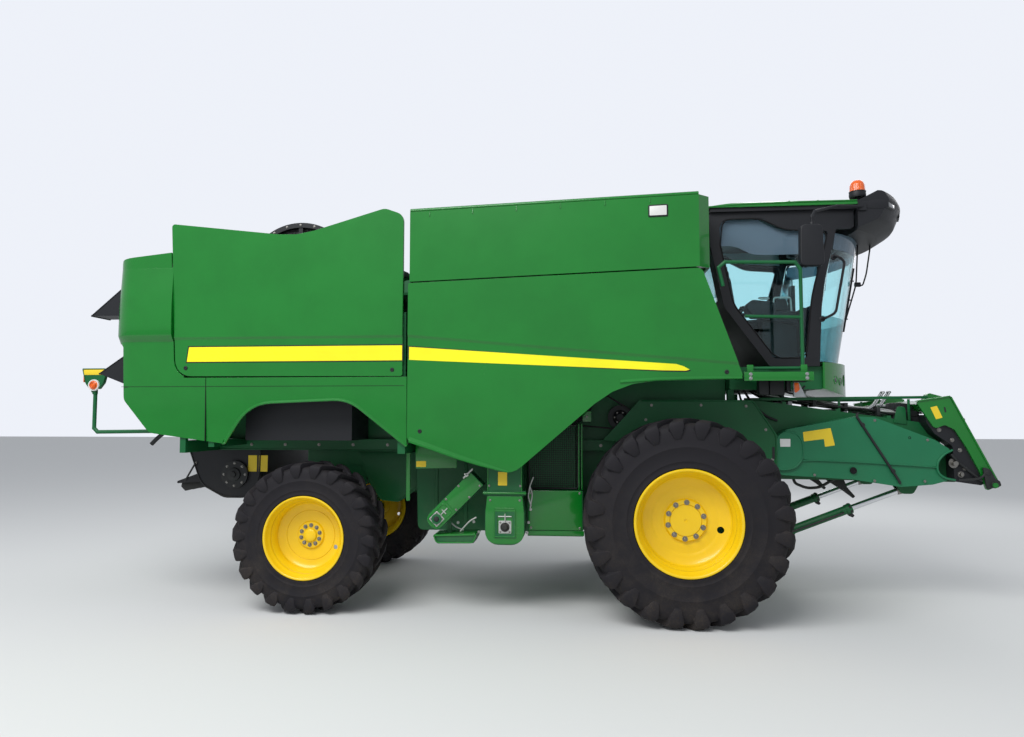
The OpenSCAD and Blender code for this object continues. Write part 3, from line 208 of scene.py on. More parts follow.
def makeFieldDust():
    # dust that lies on upward faces and low on the machine, broken up by noise
    group, source, result = startGroup("fieldDust", [("Colour", "Color", None),
        ("Dust Colour", "Color", (*dustColour, 1)), ("Amount", "Float", 0.3),
        ("Top Height", "Float", 1.6)], [("Colour", "Color"), ("Mask", "Float")])
    place = addNode(group, "TexCoord").outputs
    height = addNode(group, "SeparateXYZ", {0: place["Object"]}).outputs[2]
    facing = addNode(group, "SeparateXYZ", {0: place["Normal"]}).outputs[2]
    lowness = mathNode(group, "SUBTRACT", 1.0, mathNode(group, "DIVIDE", height, source["Top Height"]))
    lowness = mathNode(group, "MAXIMUM", lowness, 0.0)
    lying = mathNode(group, "ADD", lowness, rangeNode(group, facing, 0.5, 1.0, 0.0, 0.5))
    patches = rangeNode(group, noiseNode(group, place["Object"], 3.5, 6, 0.65), 0.35, 0.75)
    specks = rangeNode(group, noiseNode(group, place["Object"], 90, 2, 0.6), 0.35, 0.8, 0.4, 1.0)
    mask = mathNode(group, "MULTIPLY", lying, mathNode(group, "MULTIPLY", patches, specks))
    mask = mathNode(group, "MINIMUM", mathNode(group, "MULTIPLY", mask, source["Amount"]), 1.0)
    dusted = mixColours(group, mask, source["Colour"], source["Dust Colour"])
    feed(group, result, {"Colour": dusted, "Mask": mask})
    return group


def makeEdgeWear():
    # a rounded normal at sharp edges, and a mask that finds them
    group, source, result = startGroup("edgeWear", [("Edge Width", "Float", 0.004),
        ("Strength", "Float", 0.5)], [("Mask", "Float"), ("Normal", "Vector")])
    rounded = addNode(group, "Bevel", {"Radius": source["Edge Width"]}, samples=4).outputs[0]
    flat = addNode(group, "NewGeometry").outputs["Normal"]
    dot = addNode(group, "VectorMath", {0: rounded, 1: flat}, operation="DOT_PRODUCT").outputs["Value"]
    bend = rangeNode(group, dot, 0.80, 0.99, 1.0, 0.0)
    place = addNode(group, "TexCoord").outputs["Object"]
    broken = rangeNode(group, noiseNode(group, place, 14, 5, 0.7), 0.42, 0.62)
    mask = mathNode(group, "MULTIPLY", mathNode(group, "MULTIPLY", bend, broken), source["Strength"])
    feed(group, result, {"Mask": mask, "Normal": rounded})
    return group


def makeFineGrain():
    # fine relief and uneven gloss of moulded plastic, rubber or sprayed paint
    group, source, result = startGroup("fineGrain", [("Scale", "Float", 300.0),
        ("Low Roughness", "Float", 0.3), ("High Roughness", "Float", 0.5)],
        [("Height", "Float"), ("Roughness", "Float"), ("Shade", "Float")])
    place = addNode(group, "TexCoord").outputs["Object"]
    grain = addNode(group, "TexNoise", {"Vector": place, "Scale": source["Scale"],
        "Detail": 2}).outputs["Fac"]
    broad = noiseNode(group, place, 1.7, 4, 0.6)
    low = source["Low Roughness"]
    spread = mathNode(group, "SUBTRACT", source["High Roughness"], low)
    gloss = mathNode(group, "ADD", low, mathNode(group, "MULTIPLY", spread, broad))
    shade = rangeNode(group, broad, 0.3, 0.7, 0.93, 1.05)
    feed(group, result, {"Height": grain, "Roughness": gloss, "Shade": shade})
    return group


fieldDust = makeFieldDust()
edgeWear = makeEdgeWear()
fineGrain = makeFineGrain()


def useGroup(tree, group, inputs):
    return addNode(tree, "Group", inputs, node_tree=group).outputs


# A finish made of a base colour, uneven gloss, grain, worn edges and dust
def coatedFinish(name, colour, gloss=(0.3, 0.42), metallic=0.0, specular=0.35, coat=0.0,
        grain=(300, 0.0002), edge=0.003, wear=0.0, worn=(0.35, 0.36, 0.35), dust=0.25, dustTop=1.6,
        dusty=dustColour):
    material, tree, shader = newMaterial(name)
    texture = useGroup(tree, fineGrain, {"Scale": grain[0], "Low Roughness": gloss[0],
        "High Roughness": gloss[1]})
    shaded = mixColours(tree, 1, colour, texture["Shade"], "MULTIPLY")
    edges = useGroup(tree, edgeWear, {"Edge Width": edge, "Strength": wear})
    scuffed = mixColours(tree, edges["Mask"], shaded, worn)
    dirt = useGroup(tree, fieldDust, {"Colour": scuffed, "Amount": dust, "Top Height": dustTop,
        "Dust Colour": dusty})
    rough = mathNode(tree, "ADD", texture["Roughness"], mathNode(tree, "MULTIPLY", dirt["Mask"], 0.4))
    relief = {"Strength": 1, "Distance": grain[1], "Height": texture["Height"], "Normal": edges["Normal"]}
    bump = addNode(tree, "Bump", relief).outputs["Normal"]
    feed(tree, shader, {"Base Color": dirt["Colour"], "Roughness": rough, "Normal": bump,
        "Metallic": metallic, "Specular IOR Level": specular, "Coat Weight": coat,
        "Coat Roughness": 0.08})
    return material


greenPaint = coatedFinish("greenPaint", (0.001, 0.165, 0.013), gloss=(0.20, 0.30), coat=0.6,
    grain=(420, 0.00005), wear=0.25, worn=(0.15, 0.40, 0.17), dust=0.12)
# the frame's green is the body's green paint darkened as painted shade, with rougher gloss, more wear and
# more dust
shadedGreenPaint = coatedFinish("shadedGreenPaint", (0.004, 0.105, 0.030), gloss=(0.35, 0.5),
    grain=(300, 0.0001), wear=0.35, worn=(0.10, 0.22, 0.13), dust=0.35)
mouldedGreen = coatedFinish("mouldedGreen", (0.012, 0.16, 0.068), gloss=(0.36, 0.5), grain=(700, 0.0002),
    wear=0.3, worn=(0.06, 0.26, 0.14), dust=0.3)
blackPlastic = coatedFinish("blackPlastic", (0.010, 0.011, 0.014), gloss=(0.42, 0.6), grain=(800, 0.0003),
    wear=0.3, worn=(0.10, 0.10, 0.11), dust=0.2)
wheelYellow = coatedFinish("wheelYellow", (0.86, 0.57, 0.006), gloss=(0.24, 0.38), coat=0.2,
    grain=(380, 0.00006), wear=0.2, worn=(0.60, 0.36, 0.08), dust=0.10, dustTop=1.0)
tyreRubber = coatedFinish("tyreRubber", (0.012, 0.011, 0.014), gloss=(0.62, 0.82), specular=0.25,
    grain=(240, 0.0006), edge=0.006, wear=0.5, worn=(0.055, 0.05, 0.055), dust=0.35, dustTop=1.5,
    dusty=(0.15, 0.12, 0.085))
beltRubber = coatedFinish("beltRubber", (0.012, 0.012, 0.013), gloss=(0.6, 0.75), dust=0.4)
bareSteel = coatedFinish("bareSteel", (0.42, 0.43, 0.44), gloss=(0.3, 0.5), metallic=1.0,
    grain=(500, 0.0001), wear=0.3, worn=(0.7, 0.7, 0.7), dust=0.25)
rodChrome = coatedFinish("rodChrome", (0.72, 0.73, 0.75), gloss=(0.08, 0.16), metallic=1.0, dust=0.1)
sealRubber = coatedFinish("sealRubber", (0.008, 0.008, 0.009), gloss=(0.6, 0.8), specular=0.2, dust=0.1)
hoseRubber = coatedFinish("hoseRubber", (0.014, 0.014, 0.015), gloss=(0.35, 0.5), grain=(900, 0.0003),
    dust=0.25)
darkSteel = coatedFinish("darkSteel", (0.016, 0.018, 0.019), gloss=(0.45, 0.65), grain=(400, 0.0002),
    wear=0.4, worn=(0.12, 0.12, 0.12), dust=0.4)
paleSteel = coatedFinish("paleSteel", (0.50, 0.51, 0.49), gloss=(0.3, 0.5), metallic=0.6,
    grain=(400, 0.0002), wear=0.3, worn=(0.75, 0.75, 0.72), dust=0.3)
wheelNut = coatedFinish("wheelNut", (0.26, 0.25, 0.23), gloss=(0.3, 0.5), metallic=1.0,
    grain=(500, 0.0001), wear=0.5, worn=(0.8, 0.8, 0.8), dust=0.3)
castIron = coatedFinish("castIron", (0.045, 0.05, 0.05), gloss=(0.5, 0.7), grain=(160, 0.0008), dust=0.4)
amberLens = coatedFinish("amberLens", (0.80, 0.13, 0.01), gloss=(0.12, 0.2), coat=0.5, dust=0.05)
stripeYellow = coatedFinish("stripeYellow", (0.90, 0.83, 0.012), gloss=(0.25, 0.35), coat=0.2, dust=0.05)
plateYellow = coatedFinish("plateYellow", (0.82, 0.60, 0.03), gloss=(0.35, 0.5), dust=0.25)
paleTrim = coatedFinish("paleTrim", (0.52, 0.64, 0.66), gloss=(0.7, 0.85), grain=(700, 0.0003), dust=0.05)
paleLabel = coatedFinish("paleLabel", (0.72, 0.72, 0.70), gloss=(0.4, 0.5), dust=0.1)
darkLens = coatedFinish("darkLens", (0.05, 0.055, 0.06), gloss=(0.06, 0.12), coat=0.8, dust=0.05)
lampLens = coatedFinish("lampLens", (0.42, 0.44, 0.46), gloss=(0.06, 0.12), coat=0.6, dust=0.05)
screenMesh = coatedFinish("screenMesh", (0.02, 0.021, 0.022), gloss=(0.45, 0.6), dust=0.5)


def makeGlass(name, tint, roughness=0.02, clear=1.0):
    material, tree, shader = newMaterial(name)
    gloss = {"Scale": 30, "Low Roughness": roughness, "High Roughness": roughness + 0.03}
    rough = useGroup(tree, fineGrain, gloss)["Roughness"]
    feed(tree, shader, {"Base Color": tint, "Transmission Weight": clear, "IOR": 1.35,
        "Roughness": rough})
    return material


cabGlazing = makeGlass("cabGlazing", (0.66, 0.92, 0.94))
tintBand = makeGlass("tintBand", (0.22, 0.33, 0.42), roughness=0.05, clear=0.6)
lowerTint = makeGlass("lowerTint", (0.30, 0.50, 0.52))


def makeSeatCloth():
    # plain weave: two crossed waves raise the threads
    material, tree, shader = newMaterial("seatCloth")
    place = addNode(tree, "TexCoord").outputs["Object"]
    waves = [addNode(tree, "TexWave", {"Scale": 180, "Vector": place},
        bands_direction=way).outputs["Fac"] for way in ("Y", "Z")]
    threads = mathNode(tree, "MAXIMUM", *waves)
    worn = noiseNode(tree, place, 6, 4, 0.6)
    colour = mixColours(tree, rangeNode(tree, threads, 0.1, 0.9), (0.010, 0.010, 0.012),
        (0.045, 0.046, 0.05))
    colour = mixColours(tree, rangeNode(tree, worn, 0.45, 0.75, 0, 0.35), colour, (0.09, 0.09, 0.09))
    bump = addNode(tree, "Bump", {"Distance": 0.0006, "Height": threads}).outputs["Normal"]
    feed(tree, shader, {"Base Color": colour, "Roughness": 0.9, "Sheen Weight": 0.3, "Normal": bump})
    return material


seatCloth = makeSeatCloth()

finishOfSlot = {
    "body_paint": greenPaint, "frame_paint": shadedGreenPaint, "feeder_plastic": mouldedGreen,
    "black_trim": blackPlastic, "rim_paint": wheelYellow, "tyre": tyreRubber, "belt_rubber": beltRubber,
    "machined_steel": bareSteel, "cylinder_chrome": rodChrome, "engine_iron": castIron,
    "cab_glass": cabGlazing, "seat_fabric": seatCloth, "lamp_amber": amberLens,
}
slotOfFinish = {finish: slot for slot, finish in finishOfSlot.items()}
otherFinishes = {
    "black_trim": (sealRubber, hoseRubber, darkSteel, screenMesh),
    "machined_steel": (paleSteel, wheelNut),
    "body_paint": (stripeYellow, plateYellow),
    "seat_fabric": (paleTrim,),
    "cab_glass": (paleLabel, darkLens, lampLens, tintBand, lowerTint),
}
slotOfFinish.update({finish: slot for slot, others in otherFinishes.items() for finish in others})


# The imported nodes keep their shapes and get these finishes
def dressNodes():
    slotOfNode = {}
    for part in frame["record"]["subparts"]:
        slotOfNode[part["node"]] = part["material_slot"]
    for name, node in nodes.items():
        node.data.materials.clear()
        node.data.materials.append(finishOfSlot[slotOfNode[name]])
        weld = node.modifiers.new("weld", "WELD")
        weld.merge_threshold = 0.00001
        for face in node.data.polygons:
            face.use_smooth = True
        # the long crease of the side panels is a shallow one
        split = node.modifiers.new("edges", "EDGE_SPLIT")
        split.split_angle = math.radians(20 if "shield" in name else 28)


dressNodes()
print("packed nodes dressed")


# Building pieces with bmesh operators, in millimetres

def newParts(count):
    return [bmesh.new() for _ in range(count)]


def tidyPart(bm):
    bmesh.ops.remove_doubles(bm, verts=bm.verts, dist=0.02)
    bmesh.ops.recalc_face_normals(bm, faces=bm.faces)


def softenEdges(bm, width, segments=2):
    sharp = math.radians(30)
    chosen = [edge for edge in bm.edges if edge.is_manifold and edge.calc_face_angle(0) > sharp]
    bmesh.ops.bevel(bm, geom=chosen, offset=width, segments=segments, profile=0.5, affect="EDGES",
        material=-1, clamp_overlap=True)


# Put a part into a piece, moved by a matrix. The part can be placed again.
def addPart(bm, part, place=None):
    mesh = bpy.data.meshes.new("partCopy")
    part.to_mesh(mesh)
    if place is not None:
        mesh.transform(place)
    bm.from_mesh(mesh)
    bpy.data.meshes.remove(mesh)


def along(start, facing):
    return Matrix.Translation(start) @ Vector(facing).to_track_quat("Z", "Y").to_matrix().to_4x4()


# Place of a part that is turned by some degrees about one axis
def turnedAt(place, degrees, axis="Y"):
    return Matrix.Translation(place) @ Matrix.Rotation(math.radians(degrees), 4, axis)


# Places evenly round a circle, as [across, up]
def ringOf(count, radius, first=0.0):
    angles = [first + index * math.tau / count for index in range(count)]
    return [(radius * math.cos(angle), radius * math.sin(angle)) for angle in angles]


# Outline rows of a rectangle with even corners
def box(start, end, low, high, corner=0):
    return [(start, low, corner), (end, low, corner), (end, high, corner), (start, high, corner)]


def addBlock(bm, x, y, z, soft=0.0):
    part = bmesh.new()
    size = (x[1] - x[0], y[1] - y[0], z[1] - z[0])
    middle = ((x[0] + x[1]) / 2, (y[0] + y[1]) / 2, (z[0] + z[1]) / 2)
    bmesh.ops.create_cube(part, size=1)
    bmesh.ops.scale(part, vec=size, verts=part.verts)
    bmesh.ops.translate(part, vec=middle, verts=part.verts)
    if soft:
        softenEdges(part, soft)
    addPart(bm, part)
    part.free()


def addBar(bm, start, end, radius, endRadius=None, sides=20, soft=0.0):
    part = bmesh.new()
    span = Vector(end) - Vector(start)
    bmesh.ops.create_cone(part, cap_ends=True, cap_tris=False, segments=sides, radius1=radius,
        radius2=radius if endRadius is None else endRadius, depth=span.length)
    bmesh.ops.translate(part, vec=(0, 0, span.length / 2), verts=part.verts)
    if soft:
        softenEdges(part, soft)
    addPart(bm, part, along(start, span))
    part.free()


def addBall(bm, centre, radius, shape):
    place = Matrix.Translation(centre) @ Matrix.Diagonal((*shape, 1))
    bmesh.ops.create_uvsphere(bm, u_segments=20, v_segments=10, radius=radius, matrix=place)


# Points of an outline whose rows are [across, up, corner radius]
def roundCorners(rows):
    points = []
    for index, row in enumerate(rows):
        at = Vector(row[:2])
        radius = row[2] if len(row) > 2 else 0
        before = Vector(rows[index - 1][:2]) - at
        after = Vector(rows[(index + 1) % len(rows)][:2]) - at
        half = before.angle(after) / 2
        if radius <= 0 or half > math.radians(89):
            points.append(tuple(at))
            continue
        reach = min(radius / math.tan(half), 0.48 * before.length, 0.48 * after.length)
        first = at + before.normalized() * reach
        last = at + after.normalized() * reach
        for step in range(7):
            share = step / 6
            bent = first.lerp(at, share).lerp(at.lerp(last, share), share)
            points.append(tuple(bent))
    return points


placeOfPlane = {
    "side": lambda across, up, depth: (across, depth, up),      # outline of x and z, thick along y
    "front": lambda across, up, depth: (depth, across, up),     # outline of y and z, thick along x
    "plan": lambda across, up, depth: (across, up, depth),      # outline of x and y, thick along z
}


def addSlab(bm, rows, low, high, plane="side", soft=0.0, segments=2, place=None):
    part = bmesh.new()
    put = placeOfPlane[plane]
    points = roundCorners(rows)
    loops = []
    for depth in (low, high):
        verts = [part.verts.new(put(across, up, depth)) for across, up in points]
        loops.append([part.edges.new(pair) for pair in zip(verts, verts[1:] + verts[:1])])
        bmesh.ops.contextual_create(part, geom=loops[-1])
    bmesh.ops.bridge_loops(part, edges=loops[0] + loops[1])
    tidyPart(part)
    if soft:
        softenEdges(part, soft, segments)
    addPart(bm, part, place)
    part.free()


# Skin over cross-sections that have the same number of points each
def addLoft(bm, sections, soft=0.0):
    part = bmesh.new()
    loops = []
    for section in sections:
        verts = [part.verts.new(point) for point in section]
        loops.append([part.edges.new(pair) for pair in zip(verts, verts[1:] + verts[:1])])
    for first, second in zip(loops, loops[1:]):
        bmesh.ops.bridge_loops(part, edges=first + second)
    for loop in (loops[0], loops[-1]):
        bmesh.ops.contextual_create(part, geom=loop)
    tidyPart(part)
    if soft:
        softenEdges(part, soft)
    addPart(bm, part)
    part.free()


# Turned part on an axis from start. Profile rows are [radius, distance along the axis].
def addTurned(bm, profile, start, facing, steps=64, closed=False):
    part = bmesh.new()
    verts = [part.verts.new((radius, 0, distance)) for radius, distance in profile]
    pairs = list(zip(verts, verts[1:]))
    if closed:
        pairs.append((verts[-1], verts[0]))
    edges = [part.edges.new(pair) for pair in pairs]
    bmesh.ops.spin(part, geom=verts + edges, cent=(0, 0, 0), axis=(0, 0, 1), angle=math.tau, steps=steps,
        use_merge=True)
    tidyPart(part)
    addPart(bm, part, along(start, facing))
    part.free()


# Tube along points, bent round each corner by the bend radius
def addTube(bm, points, radius, bend=0.0):
    route = [Vector(points[0])]
    for before, at, after in zip(points, points[1:], points[2:]):
        at = Vector(at)
        back = Vector(before) - at
        ahead = Vector(after) - at
        reach = min(bend, 0.48 * back.length, 0.48 * ahead.length)
        first = at + back.normalized() * reach
        last = at + ahead.normalized() * reach
        for step in range(7 if bend else 1):
            share = step / 6
            route.append(first.lerp(at, share).lerp(at.lerp(last, share), share))
    route.append(Vector(points[-1]))
    curve = bpy.data.curves.new("tubeRoute", "CURVE")
    curve.dimensions = "3D"
    curve.bevel_depth = radius
    curve.bevel_resolution = 3
    curve.use_fill_caps = True
    spline = curve.splines.new("POLY")
    spline.points.add(len(route) - 1)
    for point, place in zip(spline.points, route):
        point.co = (*place, 1)
    holder = bpy.data.objects.new("tubeRoute", curve)
    mesh = bpy.data.meshes.new_from_object(holder)
    bm.from_mesh(mesh)
    bpy.data.meshes.remove(mesh)
    bpy.data.objects.remove(holder)
    bpy.data.curves.remove(curve)


# Hexagonal bolt head on its washer, standing up from a face that looks the given way
def addBolt(bm, start, facing, size=20.0, washer=True):
    height = size * 0.62
    if washer:
        addBar(bm, start, Vector(start) + Vector(facing).normalized() * size * 0.14, size * 1.05)
    part = bmesh.new()
    bmesh.ops.create_cone(part, cap_ends=True, cap_tris=False, segments=6, radius1=size * 0.72,
        radius2=size * 0.72, depth=height)
    bmesh.ops.translate(part, vec=(0, 0, height / 2 + size * 0.12), verts=part.verts)
    softenEdges(part, size * 0.07, 1)
    addPart(bm, part, along(start, facing))
    part.free()


# Bolts at [x, z] spots of an upright face that looks to the right
def addBolts(bm, spots, y, size):
    for x, z in spots:
        addBolt(bm, (x, y, z), toRight, size)


# Short raised bars in rows, each second row shifted. Corner, count, pitch and bar are [x, y] pairs.
def addTreads(bm, corner, count, pitch, bar, shift, low, high):
    for row in range(count[0]):
        for column in range(count[1]):
            x = corner[0] + row * pitch[0]
            y = corner[1] + column * pitch[1] + (shift if row % 2 else 0)
            addBlock(bm, (x, x + bar[0]), (y, y + bar[1]), (low, high))


def mirrorAcross(bm):
    copied = bmesh.ops.duplicate(bm, geom=bm.verts[:] + bm.edges[:] + bm.faces[:])["geom"]
    verts = [item for item in copied if isinstance(item, bmesh.types.BMVert)]
    bmesh.ops.scale(bm, vec=(1, -1, 1), verts=verts)


# Doubles merged, faces turned outwards, millimetres made metres, then the piece goes on its body.
# A part for both sides is built on the right and mirrored here.
def finishPiece(bm, name, finish, body="machine", slot=None, side=right, stands=(), sharp=32, both=False):
    if both:
        mirrorAcross(bm)
    if side == left:
        bmesh.ops.scale(bm, vec=(1, -1, 1), verts=bm.verts)
    tidyPart(bm)
    bmesh.ops.scale(bm, vec=(1 / perMetre,) * 3, verts=bm.verts)
    for edge in bm.edges:
        edge.smooth = edge.is_manifold and edge.calc_face_angle(0) < math.radians(sharp)
    for face in bm.faces:
        face.smooth = True
    mesh = bpy.data.meshes.new(name)
    bm.to_mesh(mesh)
    bm.free()
    mesh.materials.append(finish)
    piece = bpy.data.objects.new(name, mesh)
    bpy.context.scene.collection.objects.link(piece)
    slot = slot or slotOfFinish[finish]
    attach(piece, body)
    if stands:
        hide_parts(*stands)
    return piece


# Wheels: tyres with cleated shoulders, and rims with their hubs and bolts

frontWheel = {
    "centre": (1750, -1430, 960), "radius": 960, "width": 620, "rimRadius": 490, "lugs": 24,
    # [out, radius of the top, out at the base, radius at the base, offset along the tread, width]
    "lugRows": [(-8, 950, -8, 890, 132, 44), (14, 956, 14, 890, 116, 66), (150, 960, 150, 890, 16, 74),
        (258, 953, 246, 880, -76, 92), (296, 930, 262, 866, -106, 130), (309, 893, 270, 850, -112, 150),
        (307, 836, 276, 826, -112, 118), (303, 782, 284, 786, -112, 82), (293, 760, 284, 766, -112, 60)],
    "carcass": [(494, 250), (496, 272), (506, 283), (520, 284), (532, 279), (560, 284), (564, 287),
        (568, 285), (640, 294), (690, 297), (694, 299), (698, 297), (760, 295), (830, 288), (872, 276),
        (900, 250), (912, 200), (918, 100), (919, 0)],
}
rearWheel = {
    "centre": (-1950, -1270, 740), "radius": 740, "width": 520, "rimRadius": 405, "lugs": 22,
    "lugRows": [(-8, 731, -8, 680, 104, 38), (12, 736, 12, 680, 92, 56), (124, 740, 124, 680, 12, 62),
        (216, 734, 206, 672, -62, 76), (247, 714, 220, 658, -86, 104), (258, 684, 226, 646, -90, 118),
        (257, 640, 230, 632, -90, 94), (253, 598, 236, 602, -90, 66), (245, 582, 238, 588, -90, 48)],
    "carcass": [(409, 204), (411, 222), (420, 233), (432, 234), (442, 230), (464, 234), (468, 237),
        (472, 235), (520, 244), (556, 247), (560, 249), (564, 247), (600, 245), (640, 239), (666, 229),
        (686, 208), (694, 166), (698, 84), (699, 0)],
}


# One lug: a bar across the tread that turns down over the shoulder into a tongue
def makeLug(wheel):
    sections = []
    for out, top, baseOut, base, offset, width in wheel["lugRows"]:
        section = []
        for share, height, place in ((-0.60, base, baseOut), (-0.5, top, out), (0.5, top, out),
                (0.60, base, baseOut)):
            angle = (offset + share * width) / wheel["radius"]
            section.append((height * math.sin(angle), -place, height * math.cos(angle)))
        sections.append(section)
    lug = bmesh.new()
    addLoft(lug, sections, soft=6)
    return lug


def makeTyre(name, wheel, side, body, node):
    bm = bmesh.new()
    x, y, z = wheel["centre"]
    outer = wheel["carcass"]
    profile = outer + [(radius, -out) for radius, out in outer[-2::-1]]
    addTurned(bm, profile, (x, y, z), toRight, steps=96, closed=True)
    lug = makeLug(wheel)
    mirrored = lug.copy()
    bmesh.ops.scale(mirrored, vec=(1, -1, 1), verts=mirrored.verts)
    for half, part in ((0, lug), (1, mirrored)):
        for count in range(wheel["lugs"]):
            turned = Matrix.Rotation((count + half / 2) * math.tau / wheel["lugs"], 4, "Y")
            addPart(bm, part, Matrix.Translation((x, y, z)) @ turned)
        part.free()
    finishPiece(bm, name, tyreRubber, body, side=side, stands=(node,), sharp=38)


# Face of a rim from its lip to the hub, as [radius, distance outward], then back behind it
frontRim = {
    "face": [(488, 236), (489, 262), (496, 274), (497, 284), (492, 290), (483, 291), (474, 287),
        (468, 278), (463, 258), (456, 232), (448, 221), (442, 206), (437, 176), (431, 140), (424, 112),
        (412, 92), (396, 80), (370, 68), (340, 58), (318, 53), (312, 49), (300, 47), (250, 45), (228, 44),
        (222, 40), (205, 40), (198, 46), (192, 62), (188, 66), (152, 66), (150, 60), (148, 58), (146, 62),
        (144, 67), (60, 68), (14, 68), (10, 62), (0, 61)],
    "hole": (331, -15, 32), "boltRing": 170, "bolts": 10, "boltFace": 66, "boltSize": 24,
}
rearRim = {
    "face": [(403, 192), (404, 214), (410, 224), (411, 234), (407, 239), (399, 240), (391, 236),
        (386, 228), (381, 210), (375, 190), (367, 180), (361, 166), (355, 136), (350, 100), (344, 72),
        (334, 50), (318, 36), (296, 24), (270, 16), (252, 14), (249, 10), (246, 14), (200, 10), (160, 6),
        (142, 4), (136, 10), (130, 24), (126, 26), (70, 26), (66, 30), (64, 44), (58, 50), (20, 54),
        (0, 54)],
    "hole": (286, -24, 22), "boltRing": 98, "bolts": 10, "boltFace": 26, "boltSize": 20,
}


def cutHole(piece, start, end, radius):
    bm = bmesh.new()
    addBar(bm, start, end, radius, sides=32)
    bmesh.ops.scale(bm, vec=(1 / perMetre,) * 3, verts=bm.verts)
    mesh = bpy.data.meshes.new("holeCutter")
    bm.to_mesh(mesh)
    bm.free()
    cutter = bpy.data.objects.new("holeCutter", mesh)
    bpy.context.scene.collection.objects.link(cutter)
    cut = piece.modifiers.new("hole", "BOOLEAN")
    cut.object = cutter
    cut.solver = "EXACT"
    bpy.context.view_layer.update()
    made = bpy.data.meshes.new_from_object(piece.evaluated_get(bpy.context.evaluated_depsgraph_get()))
    piece.modifiers.clear()
    old = piece.data
    piece.data = made
    bpy.data.meshes.remove(old)
    bpy.data.objects.remove(cutter)
    bpy.data.meshes.remove(mesh)


def makeRim(name, wheel, rim, side, body, node):
    bm = bmesh.new()
    x, y, z = wheel["centre"]
    face = rim["face"]
    wall = 12
    rimEdge = next(index for index, row in enumerate(face) if row[0] < wheel["rimRadius"] - 90)
    behind = [(max(radius - 2, 0) if index > rimEdge else radius - 14, out - wall)
        for index, (radius, out) in enumerate(face)]
    flange = wheel["rimRadius"]
    lipOut = face[4][1]
    inner = [(flange - 74, 40), (flange - 66, -lipOut + 110), (flange - 30, -lipOut + 50),
        (flange - 4, -lipOut + 30), (flange + 3, -lipOut + 10), (flange - 4, -lipOut),
        (flange - 18, -lipOut + 6), (flange - 46, -lipOut + 50), (flange - 84, -lipOut + 114),
        (flange - 92, 20)]
    profile = face + [(0, face[-1][1] - 50)] + behind[:rimEdge:-1] + inner[::-1]
    profile += [(flange - 66, lipOut - 116), (flange - 30, lipOut - 66)]
    addTurned(bm, profile, (x, y, z), toRight, steps=96, closed=True)
    piece = finishPiece(bm, name, wheelYellow, body, side=side, stands=(node,), sharp=40)
    reach, angle, radius = rim["hole"]
    holeX = x + reach * math.cos(math.radians(angle))
    holeZ = z + reach * math.sin(math.radians(angle))
    cutHole(piece, (holeX, side * 900, holeZ), (holeX, side * 1900, holeZ), radius)


def makeBolts(name, wheel, rim, side, body):
    bm = bmesh.new()
    x, y, z = wheel["centre"]
    size = rim["boltSize"]
    firstAngle = 0.4 * math.tau / rim["bolts"]
    for across, up in ringOf(rim["bolts"], rim["boltRing"], firstAngle):
        place = Vector((x + across, y - rim["boltFace"], z + up))
        addBolt(bm, place, toRight, size)
        stud = place + Vector(toRight) * size * 0.6
        addBar(bm, stud, stud + Vector(toRight) * size * 0.45, size * 0.36, sides=12)
    finishPiece(bm, name, wheelNut, body, side=side)


for side, word in sideWords:
    wheels = (("front", frontWheel, frontRim, word + "_front_wheel"),
        ("rear", rearWheel, rearRim, word + "_rear_wheel"))
    for end, wheel, rim, body in wheels:
        makeTyre(end + "Tyre." + word, wheel, side, body, end + "_tyre_" + word)
    for end, wheel, rim, body in wheels:
        makeRim(end + "Rim." + word, wheel, rim, side, body, end + "_rim_" + word)
    for end, wheel, rim, body in wheels:
        makeBolts(end + "Bolts." + word, wheel, rim, side, body)
print("wheels made")


# Side panels: stripes with a thin black rim painted as their shadow, and latches

panels = {
    "skin": 1551, "stripeShadowWidth": 11,
    "frontStripe": [(-893, 2486), (-893, 2614), (1675, 2428), (1745, 2406), (1800, 2374), (1764, 2364),
        (1551, 2368)],
    "rearStripe": [(-3170, 2482), (-3150, 2630), (-962, 2630), (-962, 2482)],
    # [panel's end, y of its skin there, places of its latches]
    "latches": [("front", -1552, ((-780, 1790), (2140, 2350))),
        ("rear", -1553, ((-1060, 2390), (-3180, 2420)))],
    "latchProfile": [(0, 0), (20, 0), (20, 4), (16, 7), (8, 7), (8, 4), (0, 4)],
}


def grownOutline(rows, by):
    middle = sum((Vector(row) for row in rows), Vector((0, 0))) / len(rows)
    grown = []
    for row in rows:
        away = Vector(row) - middle
        grown.append((row[0] + math.copysign(by, away.x), row[1] + math.copysign(by, away.y)))
    return grown


def makeStripes():
    skin = panels["skin"]
    for end in ("front", "rear"):
        stripe = panels[end + "Stripe"]
        stripeShadow = grownOutline(stripe, panels["stripeShadowWidth"])
        for side, word in sideWords:
            body = word + "_" + end + "_side_shield"
            # the black rim grown round each stripe is painted shadow of the stripe's edge
            for name, rows, proud, finish in (("StripeShadow.", stripeShadow, 0.8, blackPlastic),
                    ("Stripe.", stripe, 1.6, stripeYellow)):
                bm = bmesh.new()
                addSlab(bm, rows, -skin - proud, -skin + 2)
                finishPiece(bm, end + name + word, finish, body, side=side)


# Round key latches
def makeLatches():
    for side, word in sideWords:
        for end, skin, places in panels["latches"]:
            bm = bmesh.new()
            for x, z in places:
                addTurned(bm, panels["latchProfile"], (x, skin, z), toRight, steps=28)
            body = word + "_" + end + "_side_shield"
            finishPiece(bm, end + "Latches." + word, blackPlastic, body, side=side)


makeStripes()
makeLatches()
print("panel trim made")


# Cab: glazing bands, trim, lamps, wiper, and what shows of the inside

